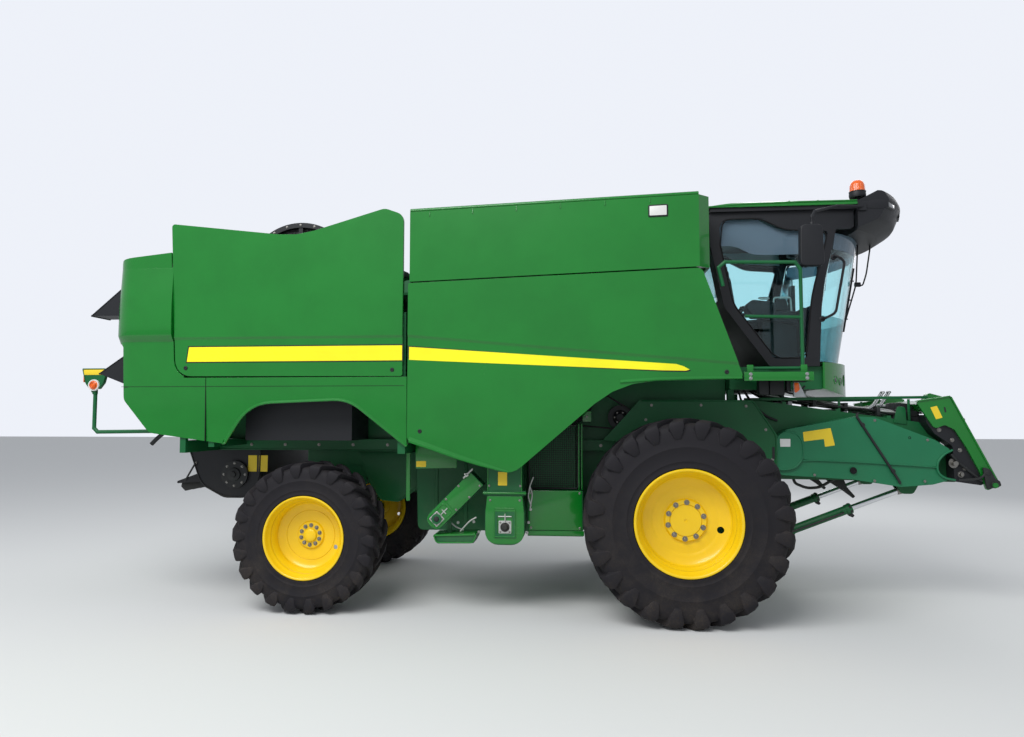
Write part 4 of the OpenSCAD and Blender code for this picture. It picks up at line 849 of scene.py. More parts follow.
cab = {
    "sideGlassY": -899.5, "screenRadius": 1100, "screenAxisX": 2469, "screenLean": 10.3,
    "screenFootZ": 2440,
    "bandEdge": [(2215, 3700), (2246, 3691), (2330, 3690), (2400, 3672), (2459, 3640), (2520, 3608),
        (2605, 3591), (2869, 3592), (3250, 3594)],
    "bandTop": [(3285, 3812), (2850, 3842), (2700, 3900), (2600, 3960), (2215, 3958)],
}


# Place on the windscreen at a height, for an angle from straight ahead
def onScreen(z, degrees, proud=0.0):
    lean = math.radians(cab["screenLean"])
    angle = math.radians(degrees)
    radius = cab["screenRadius"] + proud
    across = radius * math.sin(angle)
    ahead = radius * math.cos(angle)
    up = (z - cab["screenFootZ"] + ahead * math.sin(lean)) / math.cos(lean)
    return (cab["screenAxisX"] + ahead * math.cos(lean) + up * math.sin(lean), across, z)


def makeGlazingBands():
    bm = bmesh.new()
    outside = cab["sideGlassY"] - 2.0
    addSlab(bm, cab["bandEdge"] + cab["bandTop"], outside, outside + 1.2)
    finishPiece(bm, "sideTintBand", tintBand)
    for low, high, name, finish in ((3640, 3806, "screenTintBand", tintBand),
            (2486, 2960, "screenFootBand", lowerTint)):
        bm = bmesh.new()
        edges = []
        for z in (low, high):
            row = [bm.verts.new(onScreen(z, degrees, 2)) for degrees in range(-54, 55, 6)]
            edges += [bm.edges.new(pair) for pair in zip(row, row[1:])]
        bmesh.ops.bridge_loops(bm, edges=edges)
        bmesh.ops.recalc_face_normals(bm, faces=bm.faces)
        bmesh.ops.solidify(bm, geom=bm.faces[:], thickness=1.2)
        finishPiece(bm, name, finish)


def makeCabTrim():
    # rubber seals round the right side's glass and along the windscreen's sides and foot
    bm = bmesh.new()
    sideGlass = [(2212, 3700), (2332, 3080), (2738, 2524), (3040, 2524), (3108, 3150), (3284, 3808),
        (2850, 3838), (2620, 3960), (2240, 3960)]
    addTube(bm, [(x, -951, z) for x, z in sideGlass] + [(sideGlass[0][0], -951, sideGlass[0][1] + 2)], 7,
        bend=90)
    for degrees in (-57.5, 57.5):
        addTube(bm, [onScreen(z, degrees, 3) for z in (2490, 3000, 3500, 3800)], 9)
    addTube(bm, [onScreen(2487, degrees, 4) for degrees in range(-56, 57, 8)], 9)
    finishPiece(bm, "windowSeals", sealRubber)
    # grab handle ahead of the pillar, on its two feet
    bm = bmesh.new()
    addTube(bm, [(3330, -955, 3545), (3345, -1010, 3545), (3420, -1010, 3490), (3319, -1010, 2968),
        (3215, -1010, 2915), (3200, -950, 2915)], 13, bend=40)
    for x, z in ((3332, 3545), (3204, 2915)):
        addTurned(bm, [(0, 0), (30, 0), (30, 8), (20, 14), (0, 14)], (x, -948, z), toRight, steps=24)
    finishPiece(bm, "grabHandle", blackPlastic)


def makeRoofTrim():
    # ribs and gutter of the roof, and lamps and mouldings of the visor
    bm = bmesh.new()
    for side in bothSides:
        addTube(bm, [(2080, side * 1006, 4078), (2380, side * 1008, 4096), (3000, side * 1008, 4108),
            (3556, side * 1008, 4108)], 8)
    for x, crown in ((2900, 4164), (3180, 4158)):
        addTube(bm, [(x, -1000, 4119), (x, -830, 4152), (x, -780, crown), (x, 780, crown), (x, 830, 4152),
            (x, 1000, 4119)], 6)
    finishPiece(bm, "roofRibs", greenPaint)
    bm, lens = newParts(2)
    for degrees in (-40, -20, 20, 40):
        place = turnedAt((2790, 0, 4070), degrees, "Z")
        addSlab(bm, box(-95, 95, 45, -45, 22), 1380, 1462, plane="front", soft=5, place=place)
        addSlab(lens, box(-80, 80, 32, -32, 16), 1440, 1467, plane="front", soft=4, place=place)
    finishPiece(bm, "visorLampBodies", blackPlastic)
    finishPiece(lens, "visorLampLenses", darkLens)
    # long moulding of the visor's side, and the bracket of the lamp at its corner
    bm = bmesh.new()
    addSlab(bm, [(3590, 4030, 10), (3800, 4010, 30), (3860, 4030, 20), (3850, 4098, 20), (3760, 4112, 20),
        (3600, 4090, 20)], -1014, -998, soft=4)
    addTube(bm, [(3700, -990, 4058), (3820, -990, 4060), (3840, -940, 4060)], 12, bend=30)
    finishPiece(bm, "visorSideMouldings", blackPlastic, both=True)


def makeWiper():
    # two thin arms hang from the visor to the blade on the windscreen
    bm = bmesh.new()
    addBar(bm, (3850, -250, 3990), (3930, -250, 3880), 26, 18, sides=16)
    addTube(bm, [(3930, -250, 3880), (3955, -250, 3800), (3905, -250, 3500), (3862, -250, 3366),
        (3800, -250, 3372)], 8, bend=40)
    addTube(bm, [(3850, -230, 3990), (3835, -230, 3905), (3800, -230, 3383), (3650, -230, 2899)], 8,
        bend=60)
    addBar(bm, (3775, -265, 3378), (3830, -265, 3378), 26, sides=16)
    top = Vector(onScreen(3560, -13, 12))
    foot = Vector(onScreen(2860, -13, 12))
    addTube(bm, [top, foot], 9)
    for share in (0.2, 0.5, 0.8):
        place = top.lerp(foot, share)
        addBar(bm, place, place + Vector((22, 0, 0)), 7, sides=10)
    finishPiece(bm, "windscreenWiper", blackPlastic)


def makeBeacon():
    # lens with its ribs over a black foot
    foot = Vector((3605, -890, 4225))
    bm = bmesh.new()
    profile = [(0, 122), (24, 120), (44, 112), (58, 98), (66, 80), (70, 60), (72, 10), (74, 4), (74, 0),
        (0, 0)]
    addTurned(bm, profile, foot, upward, steps=40)
    for x, y in ringOf(18, 1):
        out = Vector((x, y, 0))
        addBar(bm, foot + out * 71 + Vector((0, 0, 8)), foot + out * 67.5 + Vector((0, 0, 70)), 3.2,
            sides=6)
    finishPiece(bm, "beaconLens", amberLens, stands=("beacon",))
    bm = bmesh.new()
    profile = [(30, -62), (66, -62), (80, -52), (82, -30), (79, -8), (82, -4), (82, 2), (76, 4), (0, 4)]
    addTurned(bm, profile, foot, upward, steps=40)
    addTurned(bm, [(26, -140), (44, -136), (44, -122), (30, -116), (26, -60)], foot, upward, steps=28)
    finishPiece(bm, "beaconFoot", blackPlastic)


def makeNoseTrim():
    # two round lamps sunk in each side of the nose, and the cap over the visor
    rims, glass = newParts(2)
    for degrees, z in ((41, 2284), (35, 2272)):
        angle = math.radians(degrees)
        out = Vector((math.cos(angle), -math.sin(angle), 0.02))
        start = Vector((2469, 0, z)) + out * 1192
        addTurned(rims, [(0, 0), (30, 0), (34, 8), (42, 10), (46, 2), (46, -10), (0, -10)], start, out,
            steps=36)
        addTurned(glass, [(0, 12), (16, 9), (29, 2), (29, -4), (0, -4)], start, out, steps=36)
    finishPiece(rims, "noseLampRims", greenPaint, both=True)
    finishPiece(glass, "noseLampLenses", darkLens, both=True)
    bm = bmesh.new()
    visorMiddle, visorRadius = 2790, 1300
    turns = [math.radians(degrees) for degrees in range(-32, 33, 4)]
    arc = [(visorMiddle + visorRadius * math.cos(turn), visorRadius * math.sin(turn), 0)
        for turn in turns]
    addSlab(bm, [(3760, -690, 20)] + arc + [(3760, 690, 20)], 4190, 4229, plane="plan", soft=6)
    finishPiece(bm, "visorCap", greenPaint)


def makePlatformTrim():
    # edge beam with its bolts, brackets of the rail, tread plates, and the lamp and boxes underneath
    bm = bmesh.new()
    addBlock(bm, (2306, 2942), (-1512, -1496), (2268, 2352), soft=3)
    for x in (2368, 2860):
        addBlock(bm, (x - 30, x + 30), (-1490, -1478), (2352, 2420), soft=2)
    addBlock(bm, (2930, 2942), (-1500, -960), (2268, 2352), soft=2)
    finishPiece(bm, "platformEdge", greenPaint)
    bm = bmesh.new()
    for x in (2367, 2880):
        for z in (2330, 2292):
            addBolt(bm, (x, -1512, z), toRight, 16)
    finishPiece(bm, "platformBolts", bareSteel)
    bm = bmesh.new()
    for corner, rows in (((2352, -1470), 14), ((2160, 985), 30)):
        addTreads(bm, corner, (rows, 8), (42, 62), (24, 6), 20, 2350, 2353)
    finishPiece(bm, "platformTreads", shadedGreenPaint)
    bm = bmesh.new()
    for x, y, low, soft in (((2506, 2600), (-1230, -1120), 2145, 6),
            ((2606, 2745), (-1240, -1120), 2142, 6), ((2760, 2800), (-1260, -1180), 2180, 4),
            ((2805, 2925), (-1300, -1240), 2262, 3)):
        addBlock(bm, x, y, (low, 2296), soft=soft)
    addTube(bm, [(2745, -1180, 2200), (2790, -1180, 2160), (2870, -1200, 2150), (2960, -1150, 2230)], 9,
        bend=40)
    finishPiece(bm, "underDeckBoxes", darkSteel)
    bm = bmesh.new()
    addSlab(bm, [(2814, 2262, 4), (2862, 2262, 8), (2924, 2120, 6), (2812, 2124, 8)], -1306, -1262,
        soft=4)
    finishPiece(bm, "cornerLampBody", lampLens)
    bm = bmesh.new()
    addSlab(bm, [(2816, 2258, 6), (2858, 2256, 10), (2868, 2190, 20), (2818, 2150, 20)], -1312, -1300,
        soft=3)
    finishPiece(bm, "cornerLampLens", amberLens)


def makeMirrorGlass():
    glass, backs = newParts(2)
    for x, side in ((2870, right), (3340, left)):
        rows = [(x + 14, 3386, 34), (x + 216, 3386, 34), (x + 207, 3760, 44), (x + 22, 3760, 44)]
        addSlab(glass, rows, side * 1347, side * 1351, soft=1)
        rows = [(x + 2, 3372, 44), (x + 228, 3372, 44), (x + 218, 3772, 54), (x + 11, 3772, 54)]
        addSlab(backs, rows, side * 1398, side * 1420, soft=14, segments=4)
        addBar(backs, (x + 130, side * 1375, 3735), (x + 130, side * 1375, 3800), 24, sides=16, soft=4)
        addBar(backs, (x + 60, side * 1375, 3360), (x + 60, side * 1375, 3376), 10, sides=12)
    finishPiece(glass, "mirrorGlass", rodChrome, slot="cab_glass")
    finishPiece(backs, "mirrorBacks", blackPlastic)


def makeSeat():
    # crowned pads, then the pan, suspension bellows and arm rests
    flip = Matrix.Rotation(math.pi, 4, "Z")
    pads = (
        ("seatCushion", [(-235, -250, 70), (235, -250, 90), (235, 250, 90), (-235, 250, 70)], 110,
            turnedAt((2835, 0, 2905), -2)),
        ("seatBackPad", [(-250, -235, 90), (250, -215, 90), (250, 215, 90), (-250, 235, 90)], 110,
            turnedAt((2490, 0, 3270), -99) @ flip),
        ("headPad", box(-75, 75, -130, 130, 50), 90, turnedAt((2430, 0, 3660), -97) @ flip),
    )
    for name, rows, height, place in pads:
        pad = bmesh.new()
        addSlab(pad, rows, 0, height, plane="plan")
        makePad(pad, name, place, height)
    bm = bmesh.new()
    addSlab(bm, [(2570, 2850, 20), (3080, 2850, 40), (3090, 2905, 30), (2560, 2905, 30)], -262, 262,
        soft=12)
    addSlab(bm, [(2400, 2960, 20), (2500, 2880, 20), (2570, 2880, 20), (2490, 3000, 60), (2430, 3560, 30),
        (2392, 3560, 30)], -235, 235, soft=14)
    for z in range(2500, 2850, 50):
        inset = 14 if (z // 50) % 2 else 0
        addBlock(bm, (2690 + inset, 2990 - inset), (-190 + inset, 190 - inset), (z, z + 50), soft=10)
    for side in bothSides:
        addBar(bm, (2520, side * 285, 3060), (2560, side * 285, 3140), 26, sides=16, soft=4)
        addSlab(bm, [(2540, 3105, 20), (2980, 3135, 30), (2985, 3165, 20), (2540, 3150, 20)],
            side * 300 - 32, side * 300 + 32, soft=12)
        addBar(bm, (2452, side * 60, 3540), (2440, side * 60, 3640), 8, sides=12)
    finishPiece(bm, "seatFrame", blackPlastic, stands=("operator_seat",))


def makeCabInside():
    # arm rest console on the right with its lever, the column beside the pillar and the rear box
    bm = bmesh.new()
    parts = (
        ([(2690, 2960, 30), (2690, 3020, 40), (2760, 3070, 60), (3090, 3040, 60), (3130, 2960, 60),
            (3050, 2900, 40)], -620, -390, 14),
        ([(2820, 3075, 10), (2836, 3180, 30), (2960, 3190, 30), (2990, 3060, 20)], -560, -440, 10),
        ([(3064, 2584, 20), (3052, 3060, 60), (3110, 3040, 40), (3215, 2831, 60), (3190, 2629, 40)],
            -830, -560, 14),
        ([(2560, 2960, 30), (2470, 3060, 60), (2540, 3140, 60), (2780, 3110, 60), (2780, 2960, 20)],
            -860, -640, 20),
    )
    for rows, low, high, soft in parts:
        addSlab(bm, rows, low, high, soft=soft)
    addBar(bm, (2990, -520, 3045), (3008, -520, 3150), 12, 16, sides=16)
    addBall(bm, (3012, -520, 3172), 32, (1, 0.8, 1.2))
    finishPiece(bm, "armConsole", blackPlastic)
    # pale lining under the roof and inside the upper edge of the left frame
    bm = bmesh.new()
    addSlab(bm, [(2190, 4004, 8), (2240, 4030, 8), (3480, 4030, 8), (3480, 4016, 8), (2250, 4010, 8)],
        -880, 880)
    addSlab(bm, [(2232, 3974), (2608, 3974), (2712, 3914), (2858, 3858), (3272, 3828), (3262, 4015),
        (2232, 4015)], 872, 886)
    finishPiece(bm, "cabLining", paleTrim)
    bm = bmesh.new()
    addTube(bm, [(2806, -600, 3060), (2824, -600, 3195), (2993, -600, 3193), (3004, -600, 3009)], 9,
        bend=24)
    addTurned(bm, [(0, 0), (40, 3), (55, 0), (60, -8), (40, -16), (0, -18)], (2711, -640, 3189),
        (0, -1, 3), steps=28)
    finishPiece(bm, "consoleFrame", paleLabel)
    bm = bmesh.new()
    addSlab(bm, [(3247, 3518, 12), (3356, 3526, 12), (3320, 3238, 12), (3250, 3243, 12)], -700, -660,
        soft=8)
    addTube(bm, [(3280, -680, 3518), (3300, -700, 3640), (3330, -780, 3760)], 12, bend=60)
    addSlab(bm, [(2986, 3799, 30), (3087, 3821, 30), (3097, 3621, 30), (3006, 3647, 30)], -560, -440,
        soft=14)
    addTube(bm, [(3040, -500, 3790), (3030, -520, 3960)], 16)
    # steering wheel with its column
    ring = bmesh.new()
    origin = (0, 0, 0)
    addTurned(ring, [(197, 0), (194, 11), (184, 16), (174, 11), (171, 0), (174, -11), (184, -16),
        (194, -11)], origin, upward, steps=56, closed=True)
    for x, y in ringOf(3, 176, math.pi / 2):
        addBar(ring, (0, 0, -18), (x, y, 0), 13, 11, sides=12)
    addTurned(ring, [(0, 12), (40, 8), (52, -6), (46, -26), (0, -30)], origin, upward, steps=32)
    addPart(bm, ring, turnedAt((3262, 0, 3120), -25))
    ring.free()
    finishPiece(bm, "cabControls", blackPlastic)


# Pad made from a plain block: subdivided, crowned, and pulled in between its corners
def makePad(bm, name, place, height):
    tidyPart(bm)
    softenEdges(bm, height * 0.3, 3)
    bmesh.ops.triangulate(bm, faces=bm.faces[:])
    bmesh.ops.subdivide_edges(bm, edges=bm.edges[:], cuts=2, use_grid_fill=True)
    reach = max(max(abs(vert.co.x), abs(vert.co.y)) for vert in bm.verts)
    for vert in bm.verts:
        away = min(math.hypot(vert.co.x, vert.co.y) / reach, 1)
        if vert.co.z > height * 0.5:
            vert.co.z += height * 0.28 * (1 - away * away)
            groove = math.exp(-((abs(vert.co.y) - reach * 0.52) / 9) ** 2)
            vert.co.z -= height * 0.12 * groove
    for _ in range(3):
        bmesh.ops.smooth_vert(bm, verts=bm.verts, factor=0.4, use_axis_x=True, use_axis_y=True,
            use_axis_z=True)
    bm.transform(place)
    pad = finishPiece(bm, name, seatCloth, sharp=70)


makeGlazingBands()
makeCabTrim()
makeRoofTrim()
makeWiper()
makeBeacon()
makeNoseTrim()
makePlatformTrim()
makeMirrorGlass()
makeSeat()
makeCabInside()
print("cab trim made")


# Feeder house: what is fixed to its shields, hoses, couplers, header frame trim, guards and cylinders

feeder = {"skin": -850, "houseTop": lambda x: 2100 - (x - 2620) * 240 / 1710}


def makeFeederTrim():
    skin = feeder["skin"]
    # diagonal rod with its hooked ends on each side, with two clips on the right
    bm = bmesh.new()
    for side in bothSides:
        addTube(bm, [(3556, side * 846, 1965), (3540, side * 862, 1935), (3928, side * 862, 1296),
            (3945, side * 846, 1268)], 13, bend=30)
    for x, z in ((3600, 1850), (3880, 1388)):
        addBar(bm, (x, skin + 4, z), (x, skin - 8, z), 22, sides=16, soft=2)
    finishPiece(bm, "shieldRods", darkSteel, "feeder", slot="frame_paint")
    # crease along the shield, rims round its mouth and its panel, then the rubber plugs and the bolts
    bm = bmesh.new()
    addTube(bm, [(2790, skin + 2, 1450), (3035, skin, 1496), (3600, skin, 1473), (4129, skin, 1442),
        (4300, skin + 4, 1428)], 7, bend=120)
    addTube(bm, [(4452, -848, 1600), (4370, -850, 1560), (4312, -850, 1490), (4300, -850, 1430),
        (4312, -850, 1370), (4370, -850, 1322), (4470, -848, 1303)], 11, bend=70)
    addTube(bm, [(2756, -856, 1404), (2756, -860, 1726), (2842, -862, 1784), (2950, -862, 1768),
        (3010, -860, 1680), (3006, -860, 1500), (2930, -860, 1414), (2830, -860, 1394),
        (2760, -858, 1400)], 8, bend=80)
    finishPiece(bm, "shieldMouldings", mouldedGreen, "feeder", both=True)
    bm = bmesh.new()
    addTurned(bm, [(0, 2), (16, 2), (20, 6), (30, 6), (34, 0), (34, -4), (0, -4)], (3499, skin, 1391),
        toRight, steps=32)
    addTurned(bm, [(0, 0), (9, 0), (12, 3), (14, 0), (14, -3), (0, -3)], (4049, skin, 1722), toRight,
        steps=20)
    finishPiece(bm, "shieldPlugs", sealRubber, "feeder", both=True)
    bm = bmesh.new()
    addBolts(bm, ((2790, 1470), (2960, 1455), (3120, 1345), (3700, 1290), (4180, 1290), (4220, 1700),
        (3720, 1895)), skin, 13)
    finishPiece(bm, "shieldBolts", wheelNut, "feeder", both=True)


def makeFeederPlates():
    skin = feeder["skin"]
    bm = bmesh.new()
    addSlab(bm, [(3016, 1776, 8), (3288, 1818, 8), (3326, 1643, 8), (3229, 1628, 6), (3220, 1706, 4),
        (3024, 1682, 6)], skin - 1.2, skin + 1)
    addSlab(bm, [(4243, 2024, 6), (4306, 2040, 6), (4356, 1922, 6), (4293, 1906, 6)], -881.4, -879)
    finishPiece(bm, "blankYellowPlates", plateYellow, "feeder")
    bm = bmesh.new()
    addSlab(bm, [(2785, 1707, 5), (2888, 1707, 5), (2886, 1628, 5), (2787, 1628, 5)], -863.4, -861)
    finishPiece(bm, "blankWhiteLabel", paleLabel, "feeder")


def makeFeederTop():
    # hoses and pipes along the top, with their clamps, couplers and levers
    top = feeder["houseTop"]
    hoses, pipes = newParts(2)
    for y, bow, rise, steel in ((-620, 30, 56, False), (-585, -20, 66, True), (-552, 25, 52, False),
            (-515, 0, 84, True), (-350, 20, 60, False), (-310, -25, 70, True)):
        route = [(2440, y + 60, 2215), (2560, y + 30, top(2560) + rise + 90)]
        for step in range(9):
            x = 2700 + step * 170
            route.append((x, y + bow * math.sin(step * 1.1),
                top(x) + rise + 10 * math.cos(step * 1.7 + y)))
        route.append((4230, y + 20, top(4230) + rise + 10))
        addTube(pipes if steel else hoses, route, 11 if steel else 14, bend=60)
    finishPiece(pipes, "feederPipes", paleSteel, "feeder")
    addTube(hoses, [(2470, -720, 2200), (2520, -730, 2110), (2600, -720, 2010), (2700, -715, 1930),
        (2800, -705, 1890)], 13, bend=70)
    addTube(hoses, [(2420, -690, 2200), (2440, -700, 2100), (2500, -720, 1990), (2640, -722, 1900)], 11,
        bend=70)
    finishPiece(hoses, "feederHoses", hoseRubber, "feeder", slot="belt_rubber")
    bm = bmesh.new()
    for x in (2860, 3180, 3500, 3820, 4120):
        for y, height in (((-650, -490), 100), ((-370, -290), 90)):
            addBlock(bm, (x, x + 34), y, (top(x) + 12, top(x) + height), soft=4)
    # multi coupler block with its two levers and ports
    addSlab(bm, [(4020, 1990, 20), (4230, 1960, 20), (4240, 2060, 20), (4060, 2080, 20)], -560, -260,
        soft=10)
    for side in bothSides:
        addSlab(bm, [(3990, 1890, 10), (4260, 1850, 10), (4250, 1990, 20), (4010, 2010, 20)],
            side * 600 - 8, side * 600 + 8, soft=3)
    finishPiece(bm, "hoseClamps", darkSteel, "feeder", slot="frame_paint")
    bm = bmesh.new()
    for y, foot, knee, tip in ((-560, (3770, 2010), (3830, 2050), (3925, 2186)),
            (-300, (3985, 2050), (4010, 2070), (4090, 2196))):
        for shift in (0, 60):
            addTube(bm, [(x, y + shift, z) for x, z in (foot, knee, tip)], 11, bend=30)
        addBar(bm, (tip[0], y - 6, tip[1]), (tip[0], y + 66, tip[1]), 14, sides=16, soft=3)
        addBar(bm, (foot[0], y - 20, foot[1]), (foot[0], y + 80, foot[1]), 16, sides=16, soft=3)
        addBar(bm, (foot[0], y + 30, foot[1]), (foot[0] + 260, y + 30, foot[1] - 40), 16, sides=16,
            soft=3)
    for y in range(-530, -270, 52):
        for z in (1985, 2035):
            addBar(bm, (4232, y, z), (4290, y, z - 12), 17, sides=18, soft=3)
            addBar(bm, (4290, y, z - 12), (4310, y, z - 16), 12, sides=18, soft=2)
    finishPiece(bm, "couplerLevers", bareSteel, "feeder")
    # long rail of the header's drive shaft, beside the hoses
    bm = bmesh.new()
    addSlab(bm, [(2480, 2096, 10), (4320, 2118, 10), (4330, 2146, 10), (2480, 2128, 10)], -655, -645,
        soft=3)
    for x in (2640, 3430, 4120):
        addBlock(bm, (x, x + 26), (-655, -645), (top(x) - 6, 2112), soft=2)
    addSlab(bm, [(3960, 1870, 10), (4090, 1850, 10), (4080, 2030, 30), (4000, 2040, 30)], -700, -688,
        soft=3)
    finishPiece(bm, "feederRails", shadedGreenPaint, "feeder", both=True)


def makeHeaderFrameTrim():
    # folded edge along each plate, and the stiffener behind it
    bm = bmesh.new()
    for side in bothSides:
        for rows in ([(4430, 2136, 8), (4446, 2128, 8), (4874, 1256, 8), (4860, 1248, 4)],
                [(4110, 2082, 8), (4118, 2094, 8), (4432, 2142, 8), (4430, 2130, 4)]):
            addSlab(bm, rows, side * 866 - 28, side * 866 + 14, soft=3)
    finishPiece(bm, "headerPlateEdges", greenPaint, "feeder")
    # dark strip painted as the shade in the plate's slot, hooks that lock the header at its foot, and
    # bolts in the cheek
    bm = bmesh.new()
    # thin dark strip on the plate: painted shade inside its slot
    addSlab(bm, [(4370, 2030, 8), (4386, 2026, 8), (4394, 1976, 8), (4378, 1974, 8)], -881.6, -880.4)
    addSlab(bm, [(4700, 1440, 20), (4760, 1420, 20), (4812, 1330, 20), (4856, 1300, 10), (4866, 1262, 10),
        (4830, 1235, 10), (4800, 1262, 20), (4765, 1225, 10), (4735, 1222, 10), (4720, 1300, 20)], -914,
        -886, soft=4)
    addBar(bm, (4800, -880, 1262), (4800, -925, 1262), 30, sides=24, soft=4)
    addBar(bm, (4744, -880, 1380), (4744, -922, 1380), 22, sides=24, soft=3)
    addTube(bm, [(4740, -905, 1400), (4690, -905, 1330), (4600, -905, 1316), (4480, -890, 1310)], 11,
        bend=50)
    addTube(bm, [(4430, -870, 1560), (4470, -880, 1500), (4560, -880, 1420), (4700, -890, 1300)], 12,
        bend=60)
    finishPiece(bm, "headerHooksAndSlotShade", darkSteel, "feeder", both=True)
    bm = bmesh.new()
    addBolts(bm, ((4270, 1890), (4330, 1800), (4450, 1700), (4560, 1900), (4520, 1600), (4610, 1640),
        (4560, 1420)), -853, 20)
    # drive shaft's stub in the mouth of the shield, with its flange
    addTurned(bm, [(0, 60), (24, 60), (24, 10), (46, 10), (46, 0), (0, 0)], (4452, -853, 1470), toRight,
        steps=32)
    addTurned(bm, [(0, 36), (16, 36), (20, 6), (30, 6), (30, 0), (0, 0)], (4520, -853, 1360), toRight,
        steps=28)
    finishPiece(bm, "cheekBolts", wheelNut, "feeder", both=True)


def makeUnderFeeder():
    bm = bmesh.new()
    addTube(bm, [(2965, -640, 1296), (2985, -640, 1240), (3104, -640, 1192), (3230, -640, 1202),
        (3330, -640, 1262), (3380, -640, 1290)], 15, bend=50)
    addSlab(bm, [(3300, 1296, 10), (3520, 1150, 20), (3616, 1076, 10), (3640, 1096, 10), (3560, 1190, 20),
        (3520, 1296, 10)], -478, -462, soft=3)
    finishPiece(bm, "underFeederGuards", darkSteel, "feeder", both=True)


def makeCylinderTrim():
    pin = Vector((2300, -550, 492))
    eye = Vector((4110, -550, 1195))
    way = (eye - pin).normalized()
    out = Vector(toRight)
    bm = bmesh.new()
    for reach in (130, 700, 1310):
        addBar(bm, pin + way * reach, pin + way * (reach + 26), 52, sides=32, soft=3)
    # ports near the barrel's ends, then the hose between them
    for reach in (170, 1250):
        addBar(bm, pin + way * reach, pin + way * reach + out * 74, 17, sides=18, soft=2)
    finishPiece(bm, "barrelCollars", shadedGreenPaint, "lift_barrel_pair", both=True)
    bm = bmesh.new()
    route = ((1250, 70), (1240, 90), (1100, 84), (300, 74), (190, 80), (170, 70))
    addTube(bm, [pin + way * reach + out * away for reach, away in route], 10, bend=30)
    addBar(bm, pin + way * 1330, pin + way * 1352, 60, sides=6, soft=3)
    addSlab(bm, [(3526, 936, 4), (3566, 944, 6), (3594, 908, 8), (3576, 888, 8), (3542, 902, 8)], -574,
        -526, soft=4)
    finishPiece(bm, "barrelHoses", hoseRubber, "lift_barrel_pair", both=True)
    bm = bmesh.new()
    addBar(bm, eye - way * 92, eye - way * 50, 38, 44, sides=32, soft=3)
    finishPiece(bm, "rodEyes", wheelNut, "lift_rod_pair", both=True)


makeFeederTrim()
makeFeederPlates()
makeFeederTop()
makeHeaderFrameTrim()
makeUnderFeeder()
makeCylinderTrim()
print("feeder house trim made")


# Under the panels: elevators' fittings, the box with its mesh, drives, the axles' bolts and hoses

elevator = {"skin": -1400, "tailingsFoot": (-640, -1380, 930), "lean": 45}


# Square bearing plate with a dark hub and a bolt at each corner
def addBearing(plates, hubs, bolts, place, size):
    plate = bmesh.new()
    addSlab(plate, box(-size, size, -size, size, 10), -4, 0, soft=1)
    hub = bmesh.new()
    addTurned(hub, [(0, 30), (size * 0.36, 28), (size * 0.48, 18), (size * 0.52, 6), (size * 0.72, 4),
        (size * 0.74, 0), (0, 0)], (0, -3, 0), toRight, steps=36)
    corners = bmesh.new()
    for across in (-0.72, 0.72):
        for up in (-0.72, 0.72):
            addBolt(corners, (across * size, -4, up * size), toRight, size * 0.15)
    for bm, part in ((plates, plate), (hubs, hub), (bolts, corners)):
        addPart(bm, part, place)
        part.free()


def makeElevatorTrim():
    green, plates, hubs, bolts = newParts(4)
    skin = elevator["skin"]
    # upright elevator: lip round its window, seams, hinge band and door
    addSlab(green, [(-66, 1010, 4), (136, 1010, 4), (136, 1046, 16), (-66, 1046, 16)], skin - 16, skin,
        soft=4)
    addTube(green, [(-66, skin - 16, 770), (136, skin - 16, 770), (136, skin - 16, 1040),
        (-66, skin - 16, 1040), (-66, skin - 16, 772)], 5, bend=20)
    for x in (-132, 197):
        addTube(green, [(x, skin, 1190), (x, skin, 2200)], 7)
    addSlab(green, [(-156, 700, 120), (221, 700, 120), (221, 1000, 20), (205, 1160, 4), (-140, 1160, 4),
        (-156, 1000, 20)], skin - 6, skin + 1, soft=3)
    addBar(green, (-178, skin - 16, 1190), (243, skin - 16, 1190), 11, sides=16, soft=2)
    addSlab(green, [(34, 990, 4), (42, 990, 4), (42, 1030, 2), (34, 1030, 2)], skin - 22, skin - 10)
    addBar(plates, (38, skin - 16, 905), (38, skin - 16, 1000), 6, sides=12)
    addBar(plates, (-30, skin - 14, 965), (100, skin - 14, 965), 6, sides=12)
    addBearing(plates, hubs, bolts, Matrix.Translation((36, skin - 5, 862)), 62)
    for x, z in ((-150, 1190), (215, 1190), (-110, 1120), (180, 1120), (-120, 1260), (186, 1260)):
        addBolt(bolts, (x, skin - 12 if z == 1190 else skin - 6, z), toRight, 11)
    # slanted elevator: cover lip, window and tensioner
    slant = turnedAt(elevator["tailingsFoot"], -elevator["lean"])
    lip = bmesh.new()
    addSlab(lip, [(-92, -87, 84), (556, -87, 2), (556, 87, 2), (-92, 87, 84)], -6, 1, soft=3)
    addTube(lip, [(-70, -6, -62), (150, -6, -62), (150, -6, 62), (-70, -6, 62), (-70, -6, -60)], 6,
        bend=20)
    addTube(lip, [(180, -6, -86), (180, -6, 86)], 5)
    stems = bmesh.new()
    for start, end, radius in (((60, -8, 0), (150, -8, 0), 6), ((100, -8, -30), (100, -8, 30), 6),
            ((470, -20, 96), (600, -20, 96), 9), ((520, -20, 96), (520, -90, 110), 7)):
        addBar(stems, start, end, radius, sides=12)
    addBlock(stems, (500, 530), (-30, 0), (78, 112), soft=3)
    spots = bmesh.new()
    addBolts(spots, ((200, 72), (200, -72), (380, 76), (380, -76), (530, -70)), -6, 11)
    addBearing(plates, hubs, bolts, slant @ Matrix.Translation((0, -5, 0)), 56)
    for bm, part in ((green, lip), (plates, stems), (bolts, spots)):
        addPart(bm, part, slant)
        part.free()
    finishPiece(green, "elevatorCovers", greenPaint)
    finishPiece(plates, "bearingPlates", paleSteel)
    finishPiece(hubs, "bearingHubs", darkSteel)
    finishPiece(bolts, "elevatorBolts", wheelNut)


